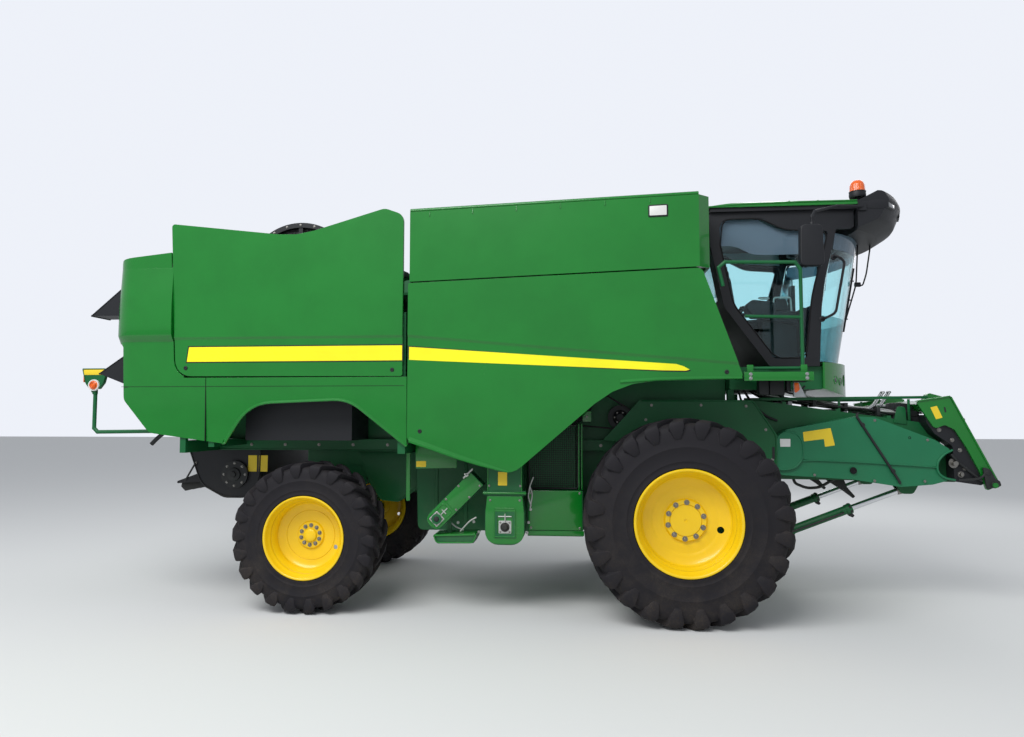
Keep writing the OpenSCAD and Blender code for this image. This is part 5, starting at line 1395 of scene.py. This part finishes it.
def makeBlankPlates():
    bm = bmesh.new()
    addSlab(bm, box(-33, 56, 1393, 1262, 6), -1401.4, -1399)
    addSlab(bm, [(-883, 1484, 5), (-782, 1485, 5), (-782, 1426, 5), (-883, 1426, 5)], -1241.4, -1239)
    for x in (-2881, -2759):
        addSlab(bm, box(x, x + 100, 1508, 1330, 5), -741.4, -739)
    finishPiece(bm, "lowerBlankPlates", plateYellow)


def makeMidFrames():
    # panel and hangers behind the slanted elevator, tray rims and the rods beside the upright elevator
    bm = bmesh.new()
    addSlab(bm, [(-890, 1700, 10), (-500, 1640, 10), (-470, 1570, 6), (-470, 1418, 6), (-890, 1408, 6)],
        -1240, -1228, soft=3)
    for x in (-860, -520):
        addBlock(bm, (x, x + 30), (-1228, -795), (1600, 1640), soft=3)
    addSlab(bm, [(-664, 760, 6), (-250, 776, 6), (-262, 792, 6), (-672, 776, 6)], -1392, -1090, soft=4)
    for y in (-1392, -1096):
        addTube(bm, [(-668, y, 772), (-640, y, 700), (-280, y, 706), (-250, y, 780)], 8, bend=30)
    addSlab(bm, box(-1000, -960, 1700, 1080, 10), -1180, -1160, soft=4)
    finishPiece(bm, "elevatorHangers", greenPaint)
    bm = bmesh.new()
    for route in ([(300, -1195, 1330), (262, -1195, 1240), (246, -1195, 1130), (276, -1195, 1040)],
            [(262, -1195, 1240), (290, -1195, 1160), (262, -1195, 1000)],
            [(-420, -1300, 800), (-330, -1300, 900), (-260, -1300, 940)],
            [(-560, -1220, 900), (-480, -1220, 830), (-400, -1220, 800)]):
        addTube(bm, route, 8, bend=30)
    addBolts(bm, ((270, 1010), (250, 880), (-460, 870), (-300, 880), (-250, 780), (235, 780)), -1195, 14)
    finishPiece(bm, "controlRods", paleSteel)


def makeServicePanel():
    green, bolts = newParts(2)
    addSlab(green, box(250, 782, 1196, 806, 14), -1190, -1178, soft=5)
    addSlab(green, box(240, 800, 800, 752, 6), -1186, -1170, soft=4)
    for x in (745, 775):
        addSlab(green, box(x, x + 14, 1860, 1196, 4), -1110, -1000, soft=2)
    addSlab(green, box(790, 880, 1990, 1880, 12), -1010, -996, soft=3)
    for x, z in ((274, 1172), (758, 1172), (274, 830), (758, 830), (835, 1935)):
        addBolt(bolts, (x, -1190 if z < 1500 else -1010, z), toRight, 11)
    finishPiece(green, "servicePanel", greenPaint)
    finishPiece(bolts, "serviceBolts", wheelNut)
    # woven guard over the opening above the box
    bm = bmesh.new()
    pitch = 22
    for count in range(int(480 / pitch) + 1):
        x = 252 + count * pitch
        addBar(bm, (x, -1008, 1205), (x, -1008, 1840), 2.6, sides=5)
    for count in range(int(630 / pitch) + 1):
        z = 1210 + count * pitch
        addBar(bm, (246, -1011, z), (736, -1011, z), 2.6, sides=5)
    addTube(bm, [(246, -1010, 1202), (738, -1010, 1202), (738, -1010, 1846), (246, -1010, 1846),
        (246, -1010, 1204)], 9, bend=20)
    finishPiece(bm, "wovenGuard", screenMesh)


def makeDrives():
    # grooved pulley rims with their hubs and bolts, and belts between them
    middles = [Vector((640, 2105)), Vector((-280, 1905)), Vector((1180, 1925))]
    radii = (250, 190, 120)
    pulleys, belts, bolts = newParts(3)
    for (x, z), radius, out in zip(middles, radii, (900, 880, 850)):
        profile = [(0, 8), (36, 8), (40, 0), (radius * 0.62, -30), (radius * 0.66, 0), (radius - 16, 2),
            (radius + 6, 4), (radius + 6, -8), (radius - 12, -20), (radius + 6, -34), (radius + 6, -44),
            (radius - 12, -56), (radius + 4, -66), (0, -66)]
        addTurned(pulleys, profile, (x, -out, z), toRight, steps=56)
        for across, up in ringOf(6, radius * 0.42):
            addBolt(bolts, (x + across, -out + 18, z + up), toRight, 13)
    for driven in (1, 2):
        span = middles[driven] - middles[0]
        spread = math.acos((radii[0] - radii[driven]) / span.length)
        heading = math.atan2(span.y, span.x)
        route = []
        for index, start, sweep in ((0, heading + spread, math.tau - 2 * spread),
                (driven, heading - spread, 2 * spread)):
            for step in range(17):
                angle = start + sweep * step / 16
                route.append(middles[index] + Vector((math.cos(angle),
                    math.sin(angle))) * (radii[index] + 2))
        for y in (-874, -850):
            addTube(belts, [(point.x, y, point.y) for point in route + route[:1]], 9)
    finishPiece(pulleys, "pulleyRims", darkSteel, both=True)
    finishPiece(belts, "driveBeltLoops", beltRubber, both=True)
    finishPiece(bolts, "pulleyBolts", wheelNut, both=True)


def makeChassisTrim():
    green, bolts, black = newParts(3)
    # flanges of the side members, ribs of the body, and the ribs of the front sheets
    for z in (1572, 1684):
        addBlock(green, (-3290, 2340), (-805, -795), (z, z + 8), soft=2)
    for places, high, low in ((range(-800, 800, 320), 1540, 800), ((950, 1400, 2100), 1330, 1140)):
        for x in places:
            addSlab(green, box(x, x + 40, high, low, 10), -718, -704, soft=4)
    addTube(green, [(1400, -893, 2095), (2516, -893, 2094), (2742, -893, 1740), (2736, -893, 1430),
        (2560, -893, 1412), (2310, -893, 1572), (1900, -893, 1624)], 8, bend=40)
    addSlab(green, [(-1000, 1540, 10), (-1030, 1170, 30), (-1250, 1010, 40), (-1430, 1028, 40),
        (-1540, 1190, 40), (-1700, 1540, 10)], -536, -528, soft=3)
    addBolts(bolts, ((1500, 2050), (2000, 2050), (2450, 2040), (2640, 1800), (2700, 1500), (1440, 1900),
        (2200, 1660)), -892, 14)
    for x in range(-3200, 2300, 380):
        addBolt(bolts, (x, -795, 1630), toRight, 16)
    # final drives, hoses to the axles, and a black strip in the front sheet painted as the shade inside
    # its slot
    for across, up in ringOf(12, 205):
        addBolt(bolts, (1750 + across, -1320, 960 + up), toRight, 16)
    hoses = (
        ([(1750, -1000, 1180), (1700, -930, 1260), (1660, -880, 1500), (1640, -840, 1560)], 12, 60),
        ([(-1950, -1020, 905), (-1930, -900, 1000), (-1900, -700, 1120), (-1890, -560, 1200)], 12, 60),
        ([(2300, -640, 560), (2200, -650, 660), (1980, -660, 900), (1900, -700, 1050),
            (1850, -720, 1300)], 11, 80),
    )
    for route, radius, bend in hoses:
        addTube(black, route, radius, bend=bend)
    # black strip painted as the shade seen in the sheet's slot
    addSlab(black, [(2700, 1628, 8), (2724, 1628, 8), (2722, 1502, 8), (2698, 1502, 8)], -896, -892)
    finishPiece(green, "chassisFlanges", shadedGreenPaint, both=True)
    finishPiece(bolts, "chassisBolts", wheelNut, both=True)
    finishPiece(black, "axleHosesAndSlotShade", hoseRubber, both=True)


def makeRearAxleTrim():
    x, y = -1950, -1020
    profile = [(0, 12), (22, 10), (40, 0), (62, 0), (62, -6), (0, -6)]
    for side, word in sideWords:
        bm = bmesh.new()
        addTurned(bm, profile, (x, y, 902), upward, steps=32)
        addBar(bm, (x, y, 914), (x, y, 926), 6, sides=10)
        for ahead, across in ringOf(4, 50, math.pi / 4):
            addBolt(bm, (x + ahead, y + across, 900), upward, 12)
        finishPiece(bm, "kingpinCap." + word, shadedGreenPaint, word + "_steering_knuckle", side=side)
    bm = bmesh.new()
    addBar(bm, (-2170, -900, 508), (-2170, -800, 508), 27, sides=6, soft=3)
    addBolt(bm, (-2170, -1020, 532), upward, 16)
    finishPiece(bm, "tieRodEnds", darkSteel, "steering_link", slot="frame_paint", both=True)


makeElevatorTrim()
makeBlankPlates()
makeMidFrames()
makeServicePanel()
makeDrives()
makeChassisTrim()
makeRearAxleTrim()
print("lower body trim made")


# Rear body: groove round the hood, rolled edges of the arches, vents, lamps and the chopper's fittings

rear = {
    "hoodRear": -3990, "skin": -1550, "corner": 220, "ledge": 2752, "groove": 2640, "proud": 46,
    "lampX": -4378, "lampZ": 2266,
}


# Path round the hood's side and corner, as [place, direction outwards]
def hoodPath(front):
    corner = rear["corner"]
    centre = Vector((rear["hoodRear"] + corner, rear["skin"] + corner))
    path = [(Vector((front, rear["skin"])), Vector((0, -1)))]
    path.append((Vector((centre.x + 120, rear["skin"])), Vector((0, -1))))
    steps = 8
    for step in range(steps + 1):
        angle = math.radians(-90 - 90 * step / steps)
        away = Vector((math.cos(angle), math.sin(angle)))
        path.append((centre + away * corner, away))
    return path


def makeHoodMoulding():
    # the upper hood stands out over the groove, most of all along the side
    front = -3312
    path = hoodPath(front)
    # [height, share of the bulge, added to it]
    steps = [(rear["groove"] + 40, 0, -6), (rear["ledge"] - 6, 1, -4), (rear["ledge"] + 6, 1, 0),
        (2860, 1, 0), (2960, 0.95, 0), (3060, 0.84, 0), (3160, 0.66, 0), (3260, 0.42, 0), (3360, 0.18, 0),
        (3440, 0, 0.4), (3450, 0, -6)]
    sections = []
    for index, (place, away) in enumerate(path):
        share = max(0.0, (index - 2) / (len(path) - 3))
        proud = rear["proud"] * (1 - share) + 4 * share
        section = []
        for z, part, extra in steps:
            point = place + away * (proud * part + extra)
            section.append((point.x if index else front - 6 - (z - 2640) * 0.026, point.y, z))
        sections.append(section)
    bm = bmesh.new()
    addLoft(bm, sections)
    finishPiece(bm, "hoodMoulding.right", greenPaint, sharp=24)
    # on the left it ends below the folded auger
    bm = bmesh.new()
    lower = []
    for section in sections:
        end = section[0]
        lower.append([(x, y, min(z, 2960)) for x, y, z in section[:4]] + [(end[0], end[1], 2964)])
    addLoft(bm, lower)
    finishPiece(bm, "hoodMoulding.left", greenPaint, side=left, sharp=24)


# Lip that turns outwards along an edge: rows of [x, z, how far it stands out, its height]
def addLip(bm, rows, skin):
    sections = []
    for x, z, proud, height in rows:
        sections.append([(x, skin + 6, z + height), (x, skin - 1, z + height),
            (x, skin - proud, z + height * 0.35), (x, skin - proud, z - 2), (x, skin - proud + 5, z - 6),
            (x, skin + 6, z - 6)])
    addLoft(bm, sections)


def makeArchLips():
    # along the lower edge of the front shield
    lips = (
        ("shieldLip", -1551, [(-885, 1688, 26, 52), (-700, 1628, 26, 50), (-400, 1526, 25, 44),
            (-200, 1468, 20, 36), (-40, 1428, 12, 24), (80, 1402, 5, 12)]),
        ("frontArchLip", -1550, [(2280, 2290, 8, 16), (1900, 2287, 12, 24), (1500, 2278, 14, 26),
            (1150, 2255, 14, 26)]),
    )
    for side, word in sideWords:
        body = word + "_front_side_shield"
        for name, skin, rows in lips:
            bm = bmesh.new()
            addLip(bm, rows, skin)
            finishPiece(bm, name + "." + word, greenPaint, body, side=side, sharp=24)
    # round the rear wheel's arch, on the quarter panel
    corners = [(-2964, 1690, 0), (-2760, 1662, 20), (-2500, 2060, 420), (-1500, 2100, 420),
        (-918, 1643, 0), (-918, 2322, 0), (-2964, 2322, 0)]
    edge = [point for point in roundCorners(corners) if point[1] < 2200][1:]
    sections = []
    for index, (x, z) in enumerate(edge):
        before = Vector(edge[max(index - 1, 0)])
        after = Vector(edge[min(index + 1, len(edge) - 1)])
        way = (after - before).normalized()
        away = Vector((-way.y, way.x))
        share = index / (len(edge) - 1)
        proud = 30 - 34 * share if share < 0.5 else 13
        lean = -1550 + 22 * min(max((2235 - z) / 635, 0), 1)
        section = []
        for rise, out in ((proud * 1.5, -6), (proud * 1.5, 1), (proud * 0.4, proud), (-2, proud),
                (-8, proud - 5), (-8, -6)):
            place = Vector((x, z)) + away * rise
            section.append((place.x, lean - out, place.y))
        sections.append(section)
    bm = bmesh.new()
    addLoft(bm, sections)
    finishPiece(bm, "rearArchLips", greenPaint, sharp=24, both=True)
    # seam between the quarter panel and the hood, and a dark strip painted as shade along the edge where
    # the lower faces lean in
    bm = bmesh.new()
    addSlab(bm, [(-2968, 2318), (-2962, 2318), (-2956, 1690), (-2962, 1690)], -1551.2, -1530)
    # this black strip is painted shade along the crease, not a seam
    addSlab(bm, [(-3860, 2236), (-3860, 2232), (-940, 2232), (-940, 2236)], -1551, -1545)
    finishPiece(bm, "rearSeamAndCreaseShade", sealRubber, both=True)


def makeVents():
    # louvres and rims of the hooded vents on the rear wall, as [y, foot, reach, how far back and how
    # high the sides end, rise and drop of the louvres]
    rims, louvres = newParts(2)
    x = rear["hoodRear"]
    vents = (
        ((-1350, -1050), 2990, 360, 0, 3296, 24, 0),
        ((-1350, -1050), 2380, 250, 130, 2636, 10, 22),
        ((1050, 1350), 2380, 250, 130, 2636, 10, 22),
    )
    for y, foot, reach, back, high, rise, drop in vents:
        addBlock(rims, (x - reach - 4, x - reach + 10), (y[0] - 6, y[1] + 6), (foot - 8, foot + 10),
            soft=3)
        for edge in y:
            addBar(rims, (x - reach, edge, foot), (x + back, edge, high), 6, sides=10)
        for count in range(5):
            depth = x - reach + 50 + count * 50
            height = foot + rise - count * drop
            addBlock(louvres, (depth, depth + 6), (y[0] + 20, y[1] - 20), (height - 14, height + 2),
                soft=1)
    finishPiece(rims, "ventRims", blackPlastic)
    finishPiece(louvres, "ventLouvres", darkSteel)
    # rear door of the hood: its seams, hinges and handle
    bm = bmesh.new()
    for z in (2790, 3380):
        addBlock(bm, (x - 8, x + 30), (-880, 880), (z, z + 8), soft=2)
    for y in (-880, 872):
        addBlock(bm, (x - 8, x + 30), (y, y + 8), (2790, 3388), soft=2)
    for y in (-560, 560):
        addBar(bm, (x - 14, y - 60, 3394), (x - 14, y + 60, 3394), 14, sides=18, soft=3)
    addTube(bm, [(x + 2, -90, 2850), (x - 44, -90, 2850), (x - 44, 90, 2850), (x + 2, 90, 2850)], 11,
        bend=24)
    finishPiece(bm, "rearDoorTrim", blackPlastic)


def makeRearLamps():
    plate, amber, ring, band = newParts(4)
    x, z = rear["lampX"], rear["lampZ"]
    y = -1225
    addTurned(ring, [(0, 14), (44, 14), (52, 20), (60, 18), (62, 0), (0, 0)], (x, y, z), toRight,
        steps=44)
    addTurned(amber, [(0, 34), (20, 32), (36, 26), (46, 16), (46, 6), (0, 6)], (x, y, z), toRight,
        steps=44)
    for radius in (16, 30):
        addTurned(amber, [(radius, 30), (radius + 3, 36), (radius + 6, 28)], (x, y, z), toRight, steps=44)
    addSlab(band, [(x - 128, 2432, 14), (x + 128, 2432, 14), (x + 118, 2376, 6), (x - 118, 2376, 6)],
        -1228, -1224, soft=1)
    addTube(plate, [(x - 136, y, 2440), (x + 136, y, 2440), (x + 98, y, 2290), (x + 48, y, 2226),
        (x - 48, y, 2226), (x - 98, y, 2290), (x - 136, y, 2438)], 6, bend=30)
    # rear facing lens and the bracket on the post
    addBlock(amber, (-4524, -4514), (y + 24, y + 56), (2300, 2420), soft=4)
    addBlock(plate, (-4400, -4360), (y, y + 40), (2170, 2230), soft=4)
    addBolt(plate, (-4400, -1222, 2200), toRight, 12)
    finishPiece(plate, "lampPlateEdges", shadedGreenPaint, both=True)
    finishPiece(ring, "lampRings", paleLabel, both=True)
    finishPiece(amber, "rearLampLenses", amberLens, both=True)
    finishPiece(band, "reflectorBands", plateYellow, both=True)


def makeChopperTrim():
    # covers of the rotor's ends with bolts, the side plates' edges, and the tailboard's fins and links
    bm, bolts = newParts(2)
    x, y, z = -3020, 775, 1300
    for side in bothSides:
        addTurned(bm, [(0, 46), (30, 46), (34, 30), (70, 22), (74, 4), (150, 0), (150, -20), (0, -20)],
            (x, side * y, z), (0, side, 0), steps=48)
        for across, up in ringOf(8, 120):
            addBolt(bolts, (x + across, side * y, z + up), (0, side, 0), 14)
        addTube(bm, [(across, side * 742, up) for across, up in ((-3556, 1560), (-3416, 1190),
            (-3150, 1050), (-2870, 1050), (-2750, 1240), (-2744, 1560))], 8, bend=100)
        addBar(bm, (-3640, side * 690, 1206), (-3480, side * 760, 1420), 10, sides=12)
        addBolt(bolts, (-3480, side * 748, 1420), (0, side, 0), 14)
    for count in range(9):
        middle = -620 + count * 155 + (count - 4) * 2.8
        addSlab(bm, [(-3700, 1192, 6), (-3440, 1216, 6), (-3440, 1150, 10), (-3660, 1100, 20),
            (-3710, 1150, 10)], middle - 4, middle + 4, soft=2)
    addTube(bm, [(-3640, -1120, 1765), (-3720, -1120, 1700), (-3780, -1120, 1640)], 22, bend=20)
    finishPiece(bm, "chopperTrim", darkSteel)
    finishPiece(bolts, "chopperBolts", wheelNut)
    bm = bmesh.new()
    addTurned(bm, [(0, 70), (10, 70), (12, 40), (16, 36), (16, -70), (0, -74)], (-2250, 0, 740), upward,
        steps=24)
    addTube(bm, [(-2250, 0, 808), (-2250, 0, 840), (-2290, 0, 850), (-2300, 0, 812)], 6, bend=14)
    finishPiece(bm, "hitchPin", bareSteel)


makeHoodMoulding()
makeArchLips()
makeVents()
makeRearLamps()
makeChopperTrim()
print("rear body trim made")


# Top, left side and engine bay: unloading auger, deck, cooling screen, engine, tank, ladder fittings

top = {
    "augerEndX": -4860, "augerY": 1320, "augerZ": 3290, "augerRadius": 185,
    "deckZ": 3300, "screenX": -2100, "screenZ": 3345, "screenRadius": 540,
}


def makeAugerTrim():
    y, z, radius = top["augerY"], top["augerZ"], top["augerRadius"]
    end = top["augerEndX"]
    flange = end + 900
    bm, bolts = newParts(2)
    for across, up in ringOf(14, radius + 7):
        addBolt(bolts, (flange + 30, y + across, z + up), forward, 11, washer=False)
        addBolt(bolts, (flange, y + across, z + up), rearward, 11, washer=False)
    profile = [(radius - 2, 0), (radius + 3, 3), (radius + 3, 9), (radius - 2, 12)]
    for x in (-3200, -2000, -700, 400, 1100):
        addTurned(bm, profile, (x, y, z), forward, steps=48, closed=True)
    finishPiece(bm, "augerSeams", greenPaint, "unloading_auger")
    finishPiece(bolts, "augerBolts", wheelNut, "unloading_auger")
    # folds of the rubber spout and the clamp that holds it
    bm = bmesh.new()
    for low, front, back in ((-150, 8, 318), (-235, 6, 310), (-320, 4, 304), (-405, 2, 300)):
        corners = ((front, -171), (back, -171), (back, 171), (front, 171), (front, -168))
        addTube(bm, [(end + ahead, y + across, z + low) for ahead, across in corners], 7, bend=24)
    finishPiece(bm, "spoutFolds", sealRubber, "unloading_auger")
    bm = bmesh.new()
    profile = [(radius + 1, 0), (radius + 6, 2), (radius + 6, 22), (radius + 1, 24)]
    addTurned(bm, profile, (end + 336, y, z), forward, steps=56, closed=True)
    addBlock(bm, (end + 334, end + 362), (y - 16, y + 16), (z + radius + 4, z + radius + 24), soft=3)
    finishPiece(bm, "spoutClamp", bareSteel, "unloading_auger")


def makeDeckTrim():
    z = top["deckZ"]
    treads = bmesh.new()
    addTreads(treads, (-3140, -660), (24, 12), (92, 140), (46, 7), 30, z - 0.5, z + 3)
    finishPiece(treads, "deckTreads", shadedGreenPaint)
    bm = bmesh.new()
    # heat shield and rain cap of the exhaust, cleaner of the air intake
    exhaust = Vector((-2900, 560, z))
    addTurned(bm, [(79, 96), (90, 100), (90, 560), (79, 566)], exhaust, upward, steps=40, closed=True)
    for count in range(7):
        for x, y in ringOf(15, 90.4):
            start = exhaust + Vector((x, y, 140 + count * 58))
            addBar(bm, start, start + Vector((0, 0, 30)), 4, sides=6)
    addTurned(bm, [(0, 6), (60, 6), (84, 0), (84, -5), (0, -5)], exhaust + Vector((0, 0, 640)),
        (20, 0, 60), steps=32)
    addBlock(bm, (-2990, -2970), (545, 575), (z + 590, z + 650), soft=4)
    intake = Vector((-1350, -330, z))
    addTurned(bm, [(0, 330), (70, 326), (150, 290), (166, 250), (166, 226), (120, 214), (100, 200),
        (100, 0), (120, -2), (0, -2)], intake, upward, steps=44)
    for x, y in ringOf(12, 1):
        out = Vector((x, y, 0))
        middle = intake + Vector((0, 0, 222))
        addBar(bm, middle + out * 104, middle + out * 160, 4, sides=6)
    finishPiece(bm, "deckStacks", blackPlastic)
    # filler cap, hatch with its hinges and grip, and the plates under the rail's feet
    bm = bmesh.new()
    addTurned(bm, [(0, 60), (50, 58), (62, 50), (64, 10), (90, 6), (92, 0), (0, 0)], (-1650, 780, z),
        upward, steps=36)
    finishPiece(bm, "fillerCap", blackPlastic)
    bm = bmesh.new()
    addSlab(bm, box(-2600, -1900, -300, 420, 20), z, z + 14, plane="plan", soft=5)
    for x in (-2480, -2020):
        addBar(bm, (x - 50, 432, z + 14), (x + 50, 432, z + 14), 12, sides=16, soft=3)
    addTube(bm, [(-2310, -260, z + 12), (-2310, -260, z + 52), (-2190, -260, z + 52),
        (-2190, -260, z + 12)], 8, bend=20)
    for y in (-660, 1030):
        addSlab(bm, box(-3186, -3120, y - 40, y + 40, 8), z, z + 8, plane="plan", soft=2)
    finishPiece(bm, "deckHatch", shadedGreenPaint)


def makeCoolingScreen():
    # woven wire over the round screen, its bolts, and the grille below
    bm = bmesh.new()
    x, z = top["screenX"], top["screenZ"]
    reach = top["screenRadius"] - 4
    pitch = 34
    rows = int(reach / pitch)
    for across in range(-rows * pitch, rows * pitch + 1, pitch):
        half = math.sqrt(reach * reach - across * across)
        addBar(bm, (x + across, -1294, z - half), (x + across, -1294, z + half), 2.4, sides=5)
        addBar(bm, (x - half, -1297, z + across), (x + half, -1297, z + across), 2.4, sides=5)
    finishPiece(bm, "coolingScreenWire", screenMesh)
    bm = bmesh.new()
    for across, up in ringOf(24, top["screenRadius"] + 25):
        addBolt(bm, (x + across, -1330, z + up), toRight, 12)
    finishPiece(bm, "coolingScreenBolts", wheelNut)
    bm = bmesh.new()
    for low in range(2130, 2680, 50):
        addBlock(bm, (-2630, -1570), (-1300, -1288), (low, low + 10), soft=2)
    for edge in ((-2660, -2628), (-1572, -1540)):
        addBlock(bm, edge, (-1310, -1270), (2090, 2700), soft=4)
    finishPiece(bm, "coolerGrille", darkSteel)


def makeEngineTrim():
    # valve covers, manifolds, filters, pulleys with their belt, and charge air pipes
    bm, black, bolts = newParts(3)
    for x in range(-2520, -1380, 190):
        addSlab(bm, box(x, x + 150, -110, 110, 20), 3218, 3262, plane="plan", soft=10)
        for side in bothSides:
            addBolt(bolts, (x + 75, side * 90, 3262), upward, 12)
            addTube(bm, [(x + 75, side * 326, 2930), (x + 75, side * 420, 2950),
                (x + 110, side * 440, 3020)], 28, bend=40)
            addBlock(bm, (x, x + 150), (side * 332 - 8, side * 332 + 8), (2420, 2860), soft=8)
    for side in bothSides:
        addBar(bm, (-2500, side * 445, 3030), (-1400, side * 445, 3030), 46, sides=24, soft=10)
        addTurned(black, [(0, 190), (50, 186), (58, 170), (58, 10), (0, 0)], (-1500, side * 380, 2420),
            (0, side, 0), steps=32)
        addTube(black, [(-1312, side * 152, 2480), (-1312, side * 95, 2820)], 7)
    for z, radius in ((2480, 150), (2820, 90)):
        profile = [(0, 30), (radius * 0.4, 30), (radius * 0.5, 12), (radius, 14), (radius + 8, 10),
            (radius - 6, 0), (radius + 8, -12), (radius, -16), (0, -16)]
        addTurned(black, profile, (-1322, 0, z), forward, steps=44)
    pipes = (
        ([(-1420, -320, 2980), (-1400, -480, 2990), (-1500, -700, 2900), (-1650, -810, 2860)], 34, 80),
        ([(-2450, -320, 2500), (-2500, -520, 2480), (-2540, -700, 2400), (-2560, -810, 2380)], 34, 80),
        ([(-2700, 560, 3270), (-2900, 560, 3270), (-2900, 400, 3100), (-2740, 300, 2900),
            (-2640, 300, 2880)], 60, 90),
    )
    for route, radius, bend in pipes:
        addTube(black, route, radius, bend=bend)
    finishPiece(bm, "engineCovers", castIron)
    finishPiece(black, "enginePipes", hoseRubber)
    finishPiece(bolts, "engineBolts", wheelNut)


def makeTankTrim():
    # work lights on the tank's sides, grips on the covers, and hinge straps
    rims, lens = newParts(2)
    for side, skin in ((right, -1550), (left, 1110)):
        addSlab(rims, [(1432, 3958, 12), (1618, 3964, 12), (1618, 3846, 12), (1432, 3842, 12)],
            skin - side * 6, skin + side * 9, soft=3)
        addSlab(lens, [(1444, 3946, 8), (1606, 3952, 8), (1606, 3858, 8), (1444, 3854, 8)], skin,
            skin + side * 12, soft=3)
    finishPiece(rims, "tankLampRims", blackPlastic)
    finishPiece(lens, "tankLampLenses", paleLabel)
    for word, y in (("right", -300), ("left", 90)):
        bm = bmesh.new()
        for x in (-700, 1700):
            z = 3954 + (x + 895) * math.tan(math.radians(2.02)) + 34
            addTube(bm, [(x, y, z), (x, y, z + 36), (x + 130, y, z + 41), (x + 130, y, z + 4)], 8,
                bend=16)
            for foot in (0, 130):
                addBlock(bm, (x + foot - 18, x + foot + 18), (y - 18, y + 18), (z, z + 9 + foot * 0.035),
                    soft=2)
        finishPiece(bm, "coverGrips." + word, blackPlastic, word + "_tank_cover")
    bm = bmesh.new()
    for x in range(-700, 1500, 430):
        seam = 3950 + (x + 895) * 0.0353
        addTube(bm, [(x, -1548, seam), (x, -1552, seam - 50)], 6)
    for z in (3420, 3700):
        addBolt(bm, (1960, -1480, z), toRight, 14)
    finishPiece(bm, "tankHingeStraps", greenPaint)


def makeDoorTrim():
    bm = bmesh.new()
    addBlock(bm, (3048, 3098), (948, 958), (2860, 3010), soft=5)
    addTube(bm, [(3074, 956, 2880), (3074, 985, 2890), (3074, 985, 2980), (3074, 956, 2990)], 9, bend=14)
    addTurned(bm, [(0, 14), (14, 12), (16, 0), (0, 0)], (3074, 956, 3006), toLeft, steps=20)
    for z in (3676, 3816):
        addBolt(bm, (2241, 962, z), toLeft, 9)
    finishPiece(bm, "doorHandle", blackPlastic, "door")


def makeLadderTrim():
    bm = bmesh.new()
    for z in range(790, 2290, 300):
        for x in range(2858, 3320, 42):
            addBlock(bm, (x, x + 22), (1468, 1574), (z - 1, z + 3), soft=1)
        for x, facing in ((2812, rearward), (3338, forward)):
            addBolt(bm, (x, 1520, z - 15), facing, 14)
    finishPiece(bm, "ladderTreads", wheelNut, "ladder")


makeAugerTrim()
makeDeckTrim()
makeCoolingScreen()
makeEngineTrim()
makeTankTrim()
makeDoorTrim()
makeLadderTrim()
print("top, left side and engine bay trim made")
